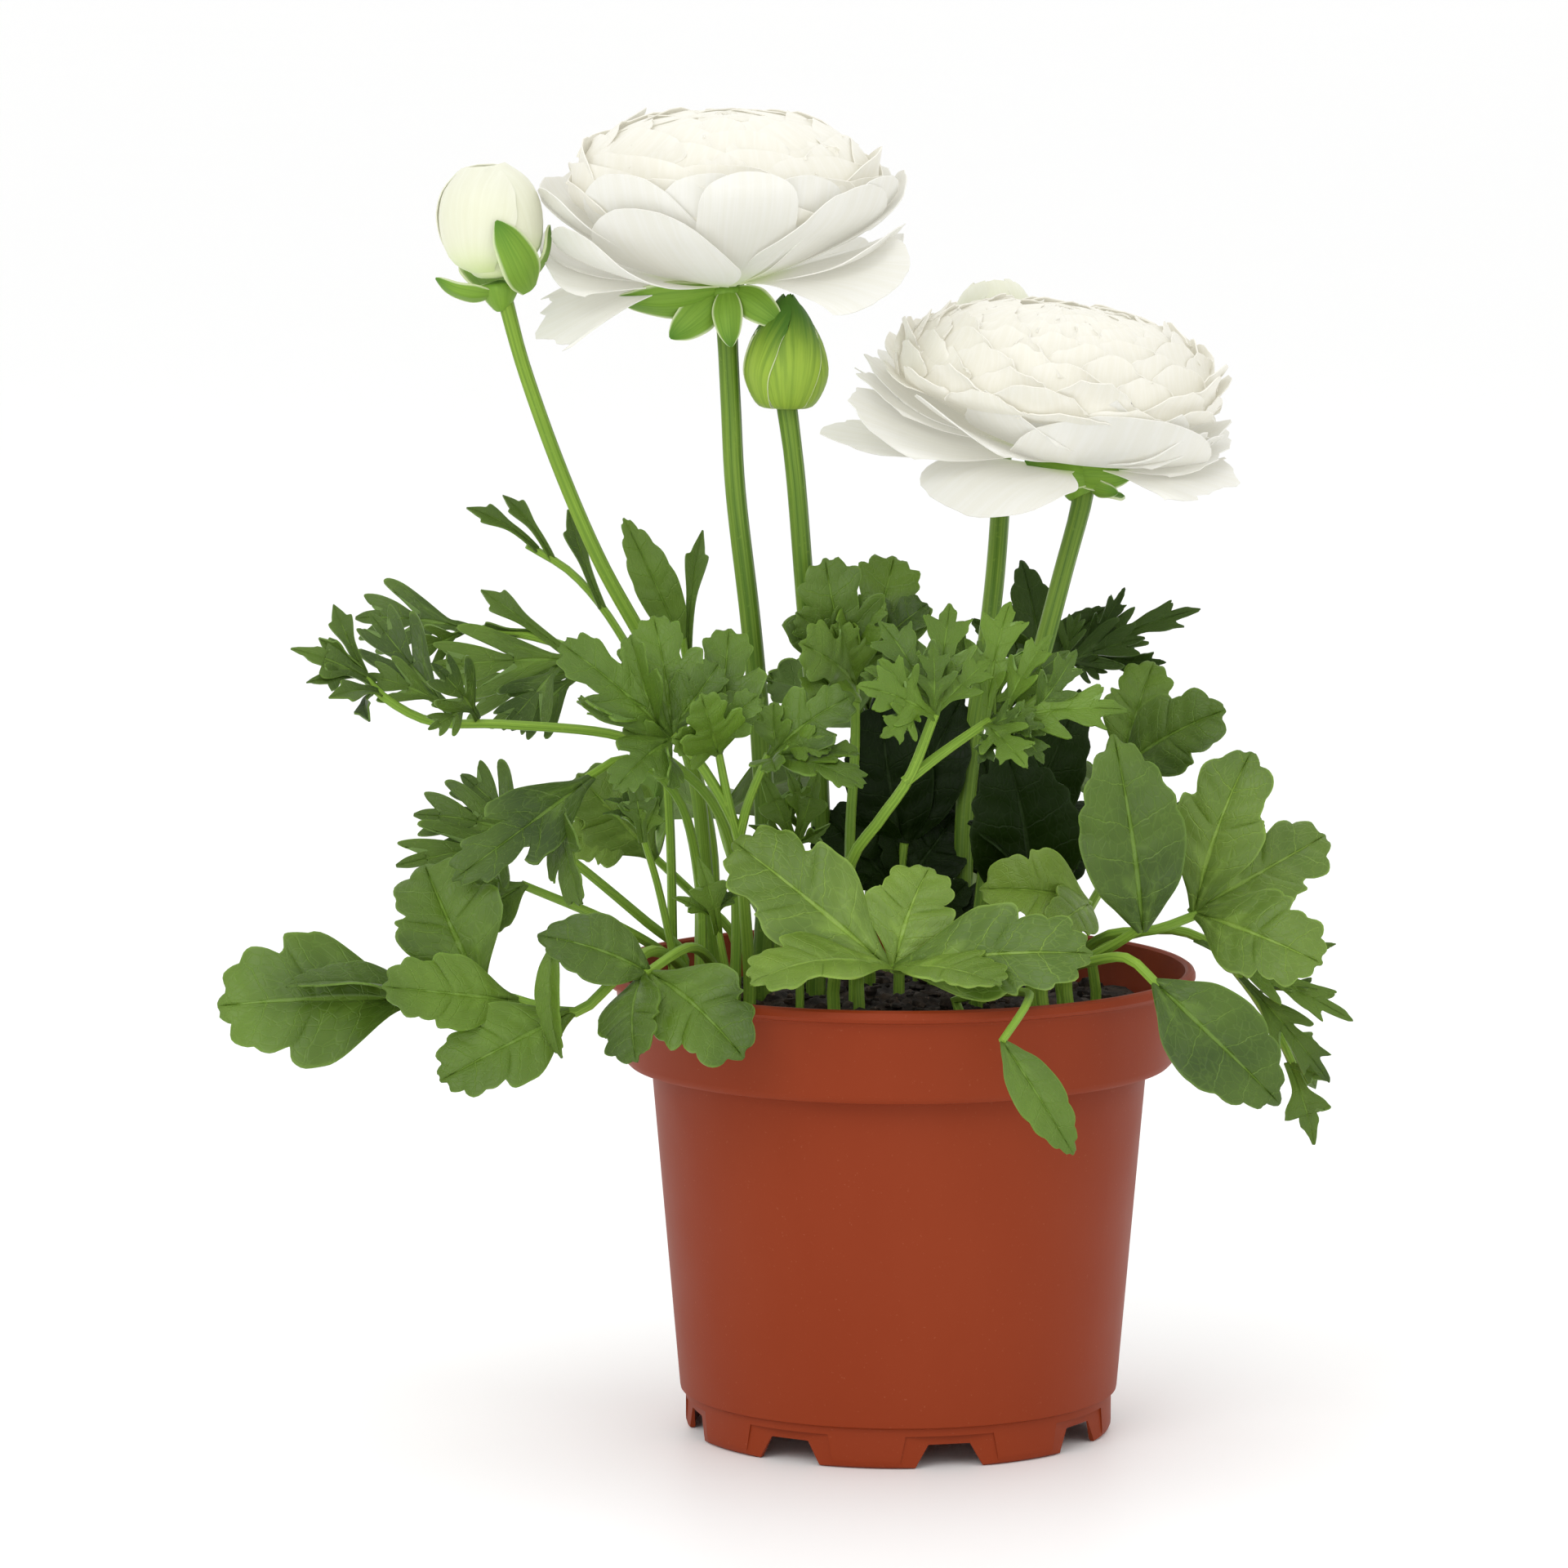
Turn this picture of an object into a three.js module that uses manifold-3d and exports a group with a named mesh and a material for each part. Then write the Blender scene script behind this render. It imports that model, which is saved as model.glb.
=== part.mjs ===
// A white ranunculus in flower, standing in the soil of its 12 cm nursery pot.
// Millimetres, +Z up, the origin under the middle of the pot's base, the front towards -Y.
import * as THREE from 'three';
import { mergeVertices } from 'three/addons/utils/BufferGeometryUtils.js';
import Module from 'manifold-3d';

const wasm = await Module();
wasm.setup();

// Driving dimensions of the pot
const POT_HEIGHT = 94.5;
const LIP_RADIUS = 60;
const LIP_HEIGHT = 2.6;
const COLLAR_TOP_RADIUS = 57.4;
const COLLAR_FOOT_RADIUS = 55.8;
const COLLAR_FOOT_Z = 75.2;
const BODY_TOP_RADIUS = 50.2;
const BODY_FOOT_RADIUS = 44.4;
const BODY_FOOT_Z = 8.5;
const FOOT_RING_RADIUS = 43.3;
const FOOT_CORNER = 1.6;
const POT_WALL = 1.3;
const POT_SIDES = 28;
const NOTCH_COUNT = 8;
const NOTCH_TURN = 14;
const NOTCH_FOOT_WIDTH = 14;
const NOTCH_TOP_WIDTH = 8.5;
const NOTCH_HEIGHT = 4.7;
const FLOOR_RISE = 4.7;
const BOSS_RADIUS = 20;
const DRAIN_RADIUS = 3;
const DRAIN_AT = 35;

// Driving dimensions of the soil and of what stands in it
const SOIL_Z = 85.5;
const SOIL_MOUND = 2.2;
const SOIL_LUMP = 0.8;
const SOIL_TOP = 88.5;
const SOIL_SIDES = 20;
const SEAT_GAP = 0.3;
const HOLE_GAP = 0.4;
const ROOT_Z = 76;

// Thickness of the living parts
const LEAF_THICKNESS = 0.8;
const PETAL_THICKNESS = 0.7;
const SEPAL_THICKNESS = 0.9;
const WELD = 1e-4;

// Length of one straight stretch of a stalk, and the sides of its section
const STALK_STEP = 19;
const STALK_SIDES = 4;
const HOLE_SIDES = 4;
const STEM_SIDES = 6;
const STEM_STEP = 28;
const CORE_SIDES = 9;
const KNOB_RADIUS = 4;

const COLOURS = {
  terracotta: 0x8e4027,
  soil: 0x1e1410,
  petal: 0xf6f1e2,
  petalGreen: 0xe9f0cf,
  stem: 0x6f9e3a,
  stemBright: 0x8fbf3f,
  leaf: 0x4f7a2f,
  leafLight: 0x5f8f3c,
  leafDark: 0x2f4f22,
};

// Ways that a blade's upper face can look
const FRONT = [0, -0.9, 0.45];
const SKY = [0, -0.35, 0.95];
const LEFT = [-0.6, -0.5, 0.6];
const RIGHT = [0.6, -0.5, 0.6];
const REAR = [0, 0.75, 0.65];

// Half outlines of the blades, from foot to tip: [half width, height, where the vein leaves the rib]
const OUTLINES = {
  fan: [[0.1, 0, 0], [1, 0.5, 0.34], [0.7, 0.63, 0.54], [0.7, 0.85, 0.76], [0.2, 1, 1]],
  oval: [[0.1, 0, 0], [0.8, 0.26, 0.18], [1, 0.54, 0.44], [0.62, 0.84, 0.76], [0.1, 1, 1]],
  cut: [[0.1, 0, 0], [0.2, 0.25, 0.2], [1, 0.62, 0.4], [0.3, 0.56, 0.52], [0.7, 0.86, 0.7],
    [0.12, 1, 1]],
  trefoil: [[0.25, 0, 0], [0.32, 0.36, 0.36], [1, 0.62, 0.62], [0.34, 0.68, 0.68], [0.14, 1, 1]],
  strap: [[0.5, 0, 0], [1, 0.45, 0.45], [0.16, 1, 1]],
  sepal: [[0.4, 0, 0], [1, 0.45, 0.36], [0.7, 0.76, 0.7], [0.14, 1, 1]],
};
const UNRIBBED = new Set(['strap', 'trefoil']);

function wave(x, y) {
  return Math.sin(0.31 * x + 0.7) * Math.cos(0.27 * y) + 0.6 * Math.sin(0.57 * y + 0.23 * x);
}

function solidOf(geometry) {
  const bare = geometry.clone();
  bare.deleteAttribute('normal');
  bare.deleteAttribute('uv');
  const welded = mergeVertices(bare, WELD);
  const source = welded.index.array;
  const corners = [];
  for (let i = 0; i < source.length; i += 3) {
    const [a, b, c] = [source[i], source[i + 1], source[i + 2]];
    if (a !== b && b !== c && c !== a) {
      corners.push(a, b, c);
    }
  }
  return new wasm.Manifold(new wasm.Mesh({
    numProp: 3,
    vertProperties: new Float32Array(welded.attributes.position.array),
    triVerts: new Uint32Array(corners),
  }));
}

function fuse(solids) {
  return solids.reduce((whole, solid) => whole.add(solid));
}

// What grew as one body: the largest one, without scraps and with sealed hollows filled
function largest(solid) {
  return solid.decompose().reduce((best, piece) => (piece.volume() > best.volume() ? piece : best));
}

function toMesh(name, solid, colour, roughness = 0.6) {
  const { vertProperties, triVerts } = solid.getMesh();
  const geometry = new THREE.BufferGeometry();
  geometry.setAttribute('position', new THREE.BufferAttribute(new Float32Array(vertProperties), 3));
  geometry.setIndex(new THREE.BufferAttribute(new Uint32Array(triVerts), 1));
  geometry.computeVertexNormals();
  const material = new THREE.MeshStandardMaterial({ color: colour, roughness, metalness: 0 });
  const mesh = new THREE.Mesh(geometry, material);
  mesh.name = name;
  return mesh;
}

function vector([x, y, z]) {
  return new THREE.Vector3(x, y, z);
}

function curveThrough(points) {
  return new THREE.CatmullRomCurve3(points.map(vector), false, 'catmullrom', 0.5);
}

// A stalk's points with one more at the top of the soil, so that its buried foot is straight
function rooted([foot, ...rest]) {
  return [foot, [foot[0], foot[1], SOIL_TOP], ...rest];
}

function tube(points, radius, sides, spacing = STALK_STEP) {
  const path = curveThrough(points);
  const steps = Math.max(Math.round(path.getLength() / spacing), 1);
  const section = new THREE.Shape();
  for (let i = 0; i < sides; i += 1) {
    const angle = (i * 2 * Math.PI) / sides;
    const [x, y] = [radius * Math.cos(angle), radius * Math.sin(angle)];
    if (i === 0) {
      section.moveTo(x, y);
    } else {
      section.lineTo(x, y);
    }
  }
  section.closePath();
  return solidOf(new THREE.ExtrudeGeometry(section, { steps, extrudePath: path }));
}

// A closed thin sheet round the surface at(u, v), with u from -1 to 1 across and v from 0 to 1 along
function sheet(columns, rows, thickness, at) {
  const grid = new THREE.PlaneGeometry(2, 1, columns, rows);
  const flat = grid.attributes.position;
  const count = flat.count;
  const positions = new Float32Array(count * 6);
  const step = 0.01;
  for (let i = 0; i < count; i += 1) {
    const u = flat.getX(i);
    const v = flat.getY(i) + 0.5;
    const across = at(Math.min(u + step, 1), v).sub(at(Math.max(u - step, -1), v));
    const along = at(u, Math.min(v + step, 1)).sub(at(u, Math.max(v - step, 0)));
    const lift = across.cross(along).setLength(thickness / 2);
    const middle = at(u, v);
    middle.clone().add(lift).toArray(positions, i * 3);
    middle.clone().sub(lift).toArray(positions, (i + count) * 3);
  }
  const faces = [];
  const upper = grid.index.array;
  for (let i = 0; i < upper.length; i += 3) {
    faces.push(upper[i], upper[i + 1], upper[i + 2]);
    faces.push(upper[i] + count, upper[i + 2] + count, upper[i + 1] + count);
  }
  const wide = columns + 1;
  const rim = [];
  for (let row = 0; row < rows; row += 1) {
    rim.push(row * wide);
  }
  for (let column = 0; column < columns; column += 1) {
    rim.push(rows * wide + column);
  }
  for (let row = rows; row > 0; row -= 1) {
    rim.push(row * wide + columns);
  }
  for (let column = columns; column > 0; column -= 1) {
    rim.push(column);
  }
  rim.forEach((here, i) => {
    const next = rim[(i + 1) % rim.length];
    faces.push(next, here, here + count);
    faces.push(next, here + count, next + count);
  });
  const closed = new THREE.BufferGeometry();
  closed.setAttribute('position', new THREE.BufferAttribute(positions, 3));
  closed.setIndex(faces);
  return solidOf(closed);
}

// One flat leaflet, lobe or sepal between two points, its upper face turned to facing,
// bowed up by arch and its sides raised by fold
function blade(outline, base, tip, halfWidth, facing = FRONT, arch = 2, fold = 1) {
  return { outline, base, tip, halfWidth, facing, arch, fold };
}

function bladeSolid({ outline, base, tip, halfWidth, facing, arch, fold }, thickness) {
  const rows = OUTLINES[outline];
  const foot = vector(base);
  const along = vector(tip).sub(foot);
  const length = along.length();
  along.normalize();
  const up = vector(facing);
  up.addScaledVector(along, -up.dot(along)).normalize();
  const side = along.clone().cross(up);
  const last = rows.length - 1;
  const at = (u, v) => {
    const place = Math.min(v * last, last - 1e-6);
    const row = Math.floor(place);
    const mix = place - row;
    const [width, height, vein] = rows[row].map((value, k) => value + mix * (rows[row + 1][k] - value));
    const out = Math.abs(u);
    const reach = vein + (height - vein) * out;
    const rise = arch * 4 * reach * (1 - reach) + fold * out * width;
    return foot.clone()
      .addScaledVector(side, u * width * halfWidth)
      .addScaledVector(along, reach * length)
      .addScaledVector(up, rise);
  };
  return sheet(UNRIBBED.has(outline) ? 1 : 2, last, thickness, at);
}

// A leaf is its stalks, each [radius, points], and its blades, fused into one body
function leafSolid({ stalks, blades }) {
  const ribs = stalks.map(([radius, points], i) => tube(i ? points : rooted(points), radius, STALK_SIDES));
  const leaflets = blades.map((one) => bladeSolid(one, LEAF_THICKNESS));
  return largest(fuse([...ribs, ...leaflets]));
}

// A petal seen in the bloom's own frame: its profile runs from root to tip as [radius, height],
// it looks towards turn in degrees, and wrap says how far it bends round the bloom's axis
function petalSolid(profile, turn, halfWidth, { wrap = 1, cup = 0, columns = 2, rows = 3, thickness } = {}) {
  const curve = curveThrough(profile.map(([radius, height]) => [radius, height, 0]));
  const heading = THREE.MathUtils.degToRad(turn);
  const at = (u, v) => {
    const reach = v * (1 - 0.15 * u * u * v);
    const { x: radius, y: height } = curve.getPoint(reach);
    const spread = Math.sin(Math.min(v / 0.66, 1) * Math.PI * 0.5) * 0.72 + 0.28;
    const taper = 1 - 0.3 * Math.max(0, (v - 0.66) / 0.34) ** 2;
    const offset = u * halfWidth * spread * taper;
    const bend = THREE.MathUtils.clamp((wrap * offset) / Math.max(radius, 3), -1.4, 1.4);
    const angle = heading + bend;
    const flat = (1 - wrap) * offset;
    return new THREE.Vector3(
      radius * Math.cos(angle) - flat * Math.sin(heading),
      radius * Math.sin(angle) + flat * Math.cos(heading),
      height + cup * u * u * v,
    );
  };
  return sheet(columns, rows, thickness ?? PETAL_THICKNESS, at);
}

// A ring of alike petals, set nearer to the axis by stagger in a cycle of two or more
function petalRing({ count, turn, profile, halfWidth, stagger = 1.2, cycle = 2, ...shape }) {
  return Array.from({ length: count }, (_, i) => {
    const inset = (i % cycle) * stagger;
    const own = profile.map(([radius, height], k) => [Math.max(radius - (k ? inset : 0), 0.5), height]);
    return petalSolid(own, turn + (i * 360) / count, halfWidth, shape);
  });
}

function latheSolid(profile, sides) {
  const points = profile.map(([radius, height]) => new THREE.Vector2(radius, height));
  const geometry = new THREE.LatheGeometry(points, sides);
  geometry.rotateX(Math.PI / 2);
  return solidOf(geometry);
}

// Places a solid that was made upright at the origin: its foot to seat, its axis along lean
function placed(solid, seat, lean) {
  const upright = new THREE.Vector3(0, 0, 1);
  const turn = new THREE.Quaternion().setFromUnitVectors(upright, vector(lean).normalize());
  const matrix = new THREE.Matrix4().compose(vector(seat), turn, new THREE.Vector3(1, 1, 1));
  return solid.transform([...matrix.elements]);
}

function potProfile() {
  const inner = (radius) => radius - POT_WALL;
  const lipZ = POT_HEIGHT - LIP_HEIGHT;
  return [
    [0, 0],
    [BOSS_RADIUS, 0],
    [BOSS_RADIUS + 1, FLOOR_RISE],
    [inner(FOOT_RING_RADIUS) - 0.2, FLOOR_RISE],
    [inner(FOOT_RING_RADIUS) - 0.6, 0],
    [FOOT_RING_RADIUS - 0.6, 0],
    [FOOT_RING_RADIUS, FOOT_CORNER],
    [FOOT_RING_RADIUS, BODY_FOOT_Z - 0.4],
    [BODY_FOOT_RADIUS, BODY_FOOT_Z],
    [BODY_TOP_RADIUS, COLLAR_FOOT_Z],
    [COLLAR_FOOT_RADIUS - 1.4, COLLAR_FOOT_Z],
    [COLLAR_FOOT_RADIUS, COLLAR_FOOT_Z + 1.8],
    [COLLAR_TOP_RADIUS, lipZ - 0.6],
    [LIP_RADIUS, lipZ + 0.6],
    [LIP_RADIUS - 0.9, POT_HEIGHT],
    [inner(LIP_RADIUS) - 0.8, POT_HEIGHT],
    [inner(COLLAR_FOOT_RADIUS), COLLAR_FOOT_Z + POT_WALL],
    [inner(BODY_TOP_RADIUS), COLLAR_FOOT_Z + POT_WALL],
    [inner(BODY_FOOT_RADIUS), BODY_FOOT_Z],
    [inner(FOOT_RING_RADIUS) - 1, FLOOR_RISE + POT_WALL],
    [0, FLOOR_RISE + POT_WALL],
  ];
}

// A prism along +X from radius from to radius to, with a trapezoid section, wider at its foot
function notchSolid(from, to) {
  const slope = (NOTCH_FOOT_WIDTH - NOTCH_TOP_WIDTH) / NOTCH_HEIGHT / 2;
  const below = 1;
  const foot = NOTCH_FOOT_WIDTH / 2 + slope * below;
  const section = new THREE.Shape([
    new THREE.Vector2(-foot, -below),
    new THREE.Vector2(foot, -below),
    new THREE.Vector2(NOTCH_TOP_WIDTH / 2, NOTCH_HEIGHT),
    new THREE.Vector2(-NOTCH_TOP_WIDTH / 2, NOTCH_HEIGHT),
  ]);
  const prism = new THREE.ExtrudeGeometry(section, { depth: to - from, bevelEnabled: false });
  prism.rotateX(Math.PI / 2);
  prism.rotateZ(Math.PI / 2);
  prism.translate(from, 0, 0);
  return solidOf(prism);
}

function potSolid() {
  const notch = notchSolid(FOOT_RING_RADIUS - 4, FOOT_RING_RADIUS + 3);
  const drain = solidOf(new THREE.CylinderGeometry(DRAIN_RADIUS, DRAIN_RADIUS, 6, 6)
    .rotateX(Math.PI / 2)
    .translate(DRAIN_AT, 0, FLOOR_RISE + POT_WALL));
  let pot = latheSolid(potProfile(), POT_SIDES);
  for (let i = 0; i < NOTCH_COUNT; i += 1) {
    const opening = i % 2 ? notch : notch.add(drain);
    pot = pot.subtract(opening.rotate([0, 0, NOTCH_TURN - 90 + (i * 360) / NOTCH_COUNT]));
  }
  return largest(pot);
}

function soilSolid(holes) {
  const gap = POT_WALL + SEAT_GAP;
  const floor = FLOOR_RISE + POT_WALL + SEAT_GAP;
  const profile = [
    [0, floor],
    [FOOT_RING_RADIUS - gap - 1.4, floor],
    [BODY_FOOT_RADIUS - gap - 0.1, BODY_FOOT_Z + SEAT_GAP],
    [BODY_TOP_RADIUS - gap - 0.4, COLLAR_FOOT_Z + gap + 0.1],
    [COLLAR_FOOT_RADIUS - gap - 0.3, COLLAR_FOOT_Z + gap + 0.1],
    [COLLAR_FOOT_RADIUS - gap + 0.3, SOIL_Z - 0.6],
    [46, SOIL_Z],
    [24, SOIL_Z],
    [0, SOIL_Z],
  ];
  const geometry = new THREE.LatheGeometry(profile.map(([r, z]) => new THREE.Vector2(r, z)), SOIL_SIDES);
  geometry.rotateX(Math.PI / 2);
  const position = geometry.attributes.position;
  for (let i = 0; i < position.count; i += 1) {
    const [x, y, z] = [position.getX(i), position.getY(i), position.getZ(i)];
    if (z > SOIL_Z - 0.1) {
      const mound = SOIL_MOUND * Math.exp(-((x * x + y * y) / 900));
      position.setZ(i, z + mound + SOIL_LUMP * wave(x, y));
    }
  }
  return holes.reduce((soil, hole) => soil.subtract(hole), solidOf(geometry));
}

// A plain straight hole round the buried foot of a stalk
function holeFor([radius, points]) {
  const [[x, y, z]] = points;
  const wide = (radius + HOLE_GAP) / Math.cos(Math.PI / HOLE_SIDES);
  return tube([[x, y, z - SEAT_GAP], [x, y, SOIL_TOP + 1]], wide, HOLE_SIDES, SOIL_Z);
}

// The flower stems, from root to head: [radius, points]
const STEMS = {
  white_bud: [1.5, [[-37, 2, ROOT_Z], [-37, 2, 93], [-39, 2, 111], [-41, 2, 131], [-46, 0, 148],
    [-51, -3, 160], [-60, -6, 177], [-68, -8, 196], [-75, -9, 216], [-79, -10, 231]]],
  bloom_left: [2.1, [[-28, 8, ROOT_Z], [-28, 8, 92], [-27, 8, 111], [-28, 6, 138], [-30, 3, 163],
    [-33, 0, 190], [-34, 0, 208], [-35, 0, 229]]],
  green_bud: [2.0, [[-17, 14, ROOT_Z], [-17, 14, 90], [-16, 14, 115], [-17, 10, 144], [-19, 4, 168],
    [-21, -1, 194], [-23, -2, 210]]],
  back_bud: [2.0, [[13, 12, ROOT_Z], [13, 12, 95], [13, 12, 115], [14, 14, 132], [18, 18, 160],
    [20, 26, 178], [21, 40, 196], [20, 49, 214]]],
  bloom_right: [2.0, [[16, -4, ROOT_Z], [16, -4, 94], [18, -4, 116], [23, -2, 139], [29, 0, 160],
    [33, 2, 175], [36, 3, 186], [37, 4, 191]]],
};

// Where each head sits, how its axis leans and how far the receptacle rises into it
const HEADS = {
  white_bud: { seat: [-80, -10, 233], lean: [-0.12, 0, 1], rise: 0.9 },
  bloom_left: { seat: [-35, 0, 232], lean: [0, -0.1, 1], rise: 1.3 },
  green_bud: { seat: [-23, -2, 208], lean: [0.02, 0, 1] },
  back_bud: { seat: [20, 50, 216], lean: [-0.1, 0.1, 1], rise: 0.9 },
  bloom_right: { seat: [36, 4, 194], lean: [0.13, -0.08, 1], rise: 2.8 },
};

// Petals of the left bloom, a half globe, in its own frame: the outer ones one by one, then rings
const LEFT_OUTER = [
  { turn: 188, profile: [[12, 4], [24, 1], [40, -5]], halfWidth: 7, wrap: 0.2, rows: 2 },
  { turn: 232, profile: [[10, 3], [27, 0], [37, 12]], halfWidth: 15, wrap: 0.7, columns: 3 },
  { turn: 276, profile: [[16, 4], [30, 6], [32, 21]], halfWidth: 10, wrap: 0.8, columns: 3 },
  { turn: 322, profile: [[10, 3], [24, 0], [38, -1]], halfWidth: 14, wrap: 0.4, cup: 3 },
  { turn: 2, profile: [[12, 4], [28, 2], [36, 11]], halfWidth: 13, wrap: 0.7 },
  { turn: 45, profile: [[10, 3], [24, 0], [38, 3]], halfWidth: 13, wrap: 0.4, cup: 3 },
  { turn: 92, profile: [[12, 4], [27, 1], [37, 9]], halfWidth: 14, wrap: 0.6 },
  { turn: 140, profile: [[10, 3], [24, 1], [37, 6]], halfWidth: 13, wrap: 0.5, cup: 2 },
];
const LEFT_RINGS = [
  { count: 6, turn: 18, profile: [[25, 7], [33, 12], [34, 21]], halfWidth: 16, rows: 2 },
  { count: 5, turn: 48, profile: [[25, 15], [29.6, 20], [26, 29]], halfWidth: 15, rows: 2, stagger: 0 },
  { count: 4, turn: 10, profile: [[19, 24], [20.6, 29], [13, 35.6]], halfWidth: 12, rows: 2, stagger: 0 },
];
const LEFT_CORE = [[0, 1.6], [8, 2.2], [25, 6], [30, 14], [26, 23], [15, 31.4], [0, 34.4]];

// Petals of the right bloom, wide open and shallow, its seat off its middle
const RIGHT_OUTER = [
  { turn: 180, profile: [[14, 4], [32, 7], [53, 13]], halfWidth: 8, wrap: 0.15, rows: 2 },
  { turn: 207, profile: [[14, 4], [30, 5], [47, 8]], halfWidth: 9, wrap: 0.2, rows: 2 },
  { turn: 238, profile: [[10, 3], [25, 3], [35, -10]], halfWidth: 14, wrap: 0.3, columns: 3 },
  { turn: 285, profile: [[8, 3], [22, 1], [32, 7]], halfWidth: 14, wrap: 0.6 },
  { turn: 328, profile: [[6, 3], [18, 0], [29, 3]], halfWidth: 12, wrap: 0.6 },
  { turn: 8, profile: [[6, 3], [18, 0], [30, 2]], halfWidth: 12, wrap: 0.5 },
  { turn: 55, profile: [[6, 3], [22, 2], [34, 7]], halfWidth: 14, wrap: 0.5 },
  { turn: 102, profile: [[10, 4], [26, 4], [40, 11]], halfWidth: 14, wrap: 0.4 },
  { turn: 146, profile: [[14, 5], [32, 6], [50, 13]], halfWidth: 13, wrap: 0.3 },
];
const RIGHT_RINGS = [
  { count: 7, turn: 0, profile: [[20, 8], [30, 12], [37, 17]], halfWidth: 12, wrap: 0.7, rows: 2 },
  { count: 6, turn: 24, profile: [[19, 14], [25, 18], [27, 25]], halfWidth: 11, rows: 2, stagger: 0 },
  { count: 4, turn: 5, profile: [[13, 21], [17, 25], [15, 32]], halfWidth: 10, rows: 2, stagger: 0 },
];
const RIGHT_CORE = [[0, 2], [10, 2.8], [23, 8], [25, 14], [20, 22], [11, 28.6], [0, 30.4]];
const RIGHT_RING_SHIFT = [-12, 2, 0];

const WHITE_BUD_CORE = [[0, 1.2], [5, 2.2], [8.8, 8], [8.8, 15], [5, 21.4], [0, 22.8]];
const WHITE_BUD_RINGS = [
  { count: 3, turn: 212, profile: [[3, 3], [10.8, 7], [11, 15], [5.4, 23]], halfWidth: 9,
    stagger: 0 },
];
const BACK_BUD_CORE = [[0, 1.2], [5, 2], [7.4, 6], [7, 12], [0, 15.2]];
const BACK_BUD_RINGS = [
  { count: 4, turn: 10, profile: [[4, 1.6], [9.6, 6], [9, 16]], halfWidth: 6, stagger: 0 },
];
const GREEN_BUD_CORE = [[0, 0.5], [4.4, 0.8], [5.2, 5], [4.2, 11], [2.8, 16], [0, 20]];
const GREEN_BUD_SEPALS = {
  count: 5, turn: 60, profile: [[2.4, 2], [6.6, -0.6], [8.4, 5], [6.4, 13], [1.8, 22.2]],
  halfWidth: 4.8, stagger: 0.4, cycle: 3, thickness: SEPAL_THICKNESS,
};

// Sepals in a head's own frame
const LEFT_SEPALS = [
  blade('sepal', [-2, -2, -0.8], [-20, -6, -2.5], 5, [0, -0.5, -0.9], 2.4, -1.6),
  blade('sepal', [-2, -2.6, -1.5], [-9, -7, -9], 4, [-0.4, -0.7, -0.4], 1.5, -1),
  blade('sepal', [0, -3, -0.6], [1, -9, -10], 3.4, [0, -1, 0.3], 1.6, -1),
  blade('sepal', [2, -2, -1], [9, -6, -4.6], 3.6, [0.4, -0.7, -0.3], 1.5, -1),
  blade('sepal', [1, 3, -1], [5, 12, -5], 4, [0, 0.5, -0.8], 1.5, -1),
];
const RIGHT_SEPALS = [
  blade('sepal', [-2, -1, -1], [-13, -6, -0.5], 4, [0, -0.4, -0.9], 1.5, -1),
  blade('sepal', [1, -2, -1], [6, -9, -3], 4, [0.2, -0.6, -0.8], 1.5, -1),
  blade('sepal', [2, 1, -1], [10, 4, -4], 4, [0.4, 0.3, -0.9], 1.5, -1),
  blade('sepal', [-1, 2, -1], [-6, 11, -2], 4, [0, 0.5, -0.9], 1.5, -1),
];
const WHITE_BUD_SEPALS = [
  blade('sepal', [3, -4, -1], [2.6, -14.4, 13], 6, [0.1, -1, 0.1], 2.6, -1.4),
  blade('sepal', [4, 0, -1], [14.4, 1, 11], 4.6, [1, 0, -0.2], 2.4, -1.4),
  blade('sepal', [-2, -2, -1.6], [-10, -5, -1], 3, [-0.3, -0.8, -0.5], -2, -1),
  blade('sepal', [-2, 4, -1], [-4, 13.4, 10], 5, [-0.3, 1, -0.2], 2.6, -1.4),
];
const BACK_BUD_SEPALS = [
  blade('sepal', [0, -4, -0.8], [0, -12.4, 8], 4.6, [0, -1, 0], 1.6, -1),
  blade('sepal', [4, 0, -0.8], [12.4, 0, 8], 4.6, [1, 0, 0], 1.6, -1),
  blade('sepal', [-4, 0, -0.8], [-12.4, 0, 8], 4.6, [-1, 0, 0], 1.6, -1),
  blade('sepal', [0, 4, -0.8], [0, 12.4, 8], 4.6, [0, 1, 0], 1.6, -1),
];

function stalk(radius, ...points) {
  return [radius, points];
}

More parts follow.
